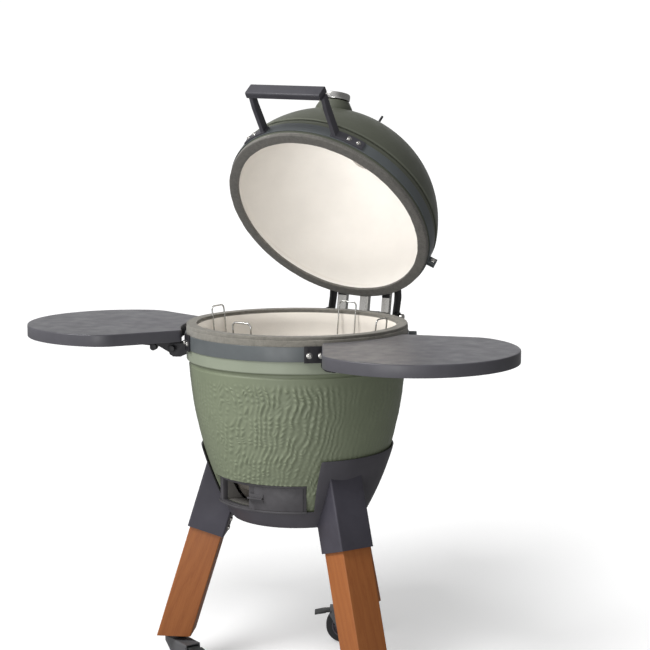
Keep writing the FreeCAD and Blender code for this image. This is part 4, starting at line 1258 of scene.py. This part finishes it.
# ---------------------------------------------------------------------------
# Floor, light, camera
# ---------------------------------------------------------------------------
fm = Mat("floor_paper")
tone = fm.noise(1.4, 3.0)
fcol = fm.mix(fm.range(tone, 0.3, 0.7, 0.0, 1.0), (0.80, 0.80, 0.80, 1), (0.82, 0.82, 0.82, 1))
fm.setup(fcol, 0.9, fm.bump(fm.noise(300.0, 2.0), 0.02, 0.0002),
         Specular_IOR_Level=0.0)
fm.b.inputs["Emission Color"].default_value = (1, 1, 1, 1)
fm.b.inputs["Emission Strength"].default_value = 0.30
me = bpy.data.meshes.new("floor")
S = 60.0
me.from_pydata([(-S, -S, 0), (S, -S, 0), (S, S, 0), (-S, S, 0)], [], [(0, 1, 2, 3)])
me.materials.append(fm.m)
floor = bpy.data.objects.new("floor", me)
bpy.context.scene.collection.objects.link(floor)
floor.visible_diffuse = False
floor.visible_glossy = False

cam_az, cam_pitch = math.radians(31.94), math.radians(7.88)


def area(name, loc, target, size, energy, color=(1, 1, 1)):
    l = bpy.data.lights.new(name, "AREA")
    l.shape = "RECTANGLE"
    l.size, l.size_y = size
    l.energy = energy
    l.color = color
    o = bpy.data.objects.new(name, l)
    bpy.context.scene.collection.objects.link(o)
    o.location = loc
    o.rotation_euler = (Vector(target) - Vector(loc)).to_track_quat("-Z", "Y").to_euler()
    return o


sun = bpy.data.lights.new("key", "SUN")
sun.energy = 2.25
sun.angle = math.radians(24)
so = bpy.data.objects.new("key", sun)
bpy.context.scene.collection.objects.link(so)
left = Vector((-0.849, -0.529, 0))
toward = Vector((0.529, -0.849, 0))
kd = (left * 0.76 + toward * 0.30 + Vector((0, 0, 0.92))).normalized()
so.rotation_euler = (-kd).to_track_quat("-Z", "Y").to_euler()
front = area("soft_front", (0.9, -3.5, 0.6), (0, 0, 1.05), (1.8, 1.2), 22)
# the floor has a key of its own, so its shadow falls behind and close by
fsun = bpy.data.lights.new("floor_key", "SUN")
fsun.energy = 2.6
fsun.angle = math.radians(26)
fo = bpy.data.objects.new("floor_key", fsun)
bpy.context.scene.collection.objects.link(fo)
fd = (left * 0.45 + toward * 0.90 + Vector((0, 0, 1.0))).normalized()
fo.rotation_euler = (-fd).to_track_quat("-Z", "Y").to_euler()
floor_only = bpy.data.collections.new("floor_lights")
floor_only.objects.link(floor)
fo.light_linking.receiver_collection = floor_only
not_floor = bpy.data.collections.new("object_lights")
not_floor.objects.link(floor)
for o_ in (so, front):
    o_.light_linking.receiver_collection = not_floor
not_floor.collection_objects[0].light_linking.link_state = "EXCLUDE"
# a small card that fills the inside of the open lid
card = area("lid_card", (-0.78, -1.06, 0.69), (0.02, 0.14, 1.2), (0.9, 0.9), 24)
only = bpy.data.collections.new("lid_card_lights")
only.objects.link(bpy.data.objects["lid_body"])
card.light_linking.receiver_collection = only
card2 = area("bowl_card", (0.25, -0.25, 1.75), (-0.08, 0.03, 0.72), (0.5, 0.5), 4.5)
only2 = bpy.data.collections.new("bowl_card_lights")
only2.objects.link(bpy.data.objects["bowl_body"])
card2.light_linking.receiver_collection = only2

wd = bpy.data.worlds.new("studio")
bpy.context.scene.world = wd
wd.use_nodes = True
nt = wd.node_tree
bg = nt.nodes["Background"]
bg.inputs["Color"].default_value = (1, 1, 1, 1)
bg.inputs["Strength"].default_value = 0.35
# white to the eye; as light, strong from the upper left and off the floor
tc = nt.nodes.new("ShaderNodeTexCoord")


def lobe(d, lo, hi, strength):
    k = nt.nodes.new("ShaderNodeVectorMath")
    k.operation = "DOT_PRODUCT"
    k.inputs[1].default_value = Vector(d).normalized()
    nt.links.new(tc.outputs["Generated"], k.inputs[0])
    m = nt.nodes.new("ShaderNodeMapRange")
    m.interpolation_type = "SMOOTHSTEP"
    for i, x in zip((1, 2, 3, 4), (lo, hi, 0.0, strength)):
        m.inputs[i].default_value = x
    nt.links.new(k.outputs["Value"], m.inputs[0])
    return m.outputs[0]


def plus(x, y):
    k = nt.nodes.new("ShaderNodeMath")
    k.operation = "ADD"
    for i, v in enumerate((x, y)):
        if hasattr(v, "links"):
            nt.links.new(v, k.inputs[i])
        else:
            k.inputs[i].default_value = v
    return k.outputs[0]


SKY, FLOOR_LOBE, BASE = 0.45, 0.32, 0.20
amb = plus(lobe(left * 0.8 + toward * 0.35 + Vector((0, 0, 0.5)), -0.1, 0.95, SKY),
           lobe(toward * 0.75 + left * 0.15 + Vector((0, 0, -0.62)), 0.35, 0.95, FLOOR_LOBE))
amb = plus(amb, lobe(-toward + Vector((0, 0, 0.16)), 0.80, 0.98, 0.42))
amb = plus(amb, BASE)
lp = nt.nodes.new("ShaderNodeLightPath")
mx = nt.nodes.new("ShaderNodeMix")
mx.data_type = "FLOAT"
nt.links.new(lp.outputs["Is Camera Ray"], mx.inputs[0])
nt.links.new(amb, mx.inputs[2])
mx.inputs[3].default_value = 1.05
nt.links.new(mx.outputs[0], bg.inputs["Strength"])

cam = bpy.data.cameras.new("camera")
cam.sensor_width = 36.0
cam.lens = 92.28
cam.clip_end = 200
co = bpy.data.objects.new("camera", cam)
bpy.context.scene.collection.objects.link(co)
co.location = (2.2689, (-3506.9 + AY) / 1000, (ZR + 568.3) / 1000)
co.rotation_euler = (math.pi / 2 - cam_pitch, 0, cam_az)
bpy.context.scene.camera = co
bpy.context.scene.view_settings.view_transform = "Standard"
bpy.context.scene.view_settings.look = "None"
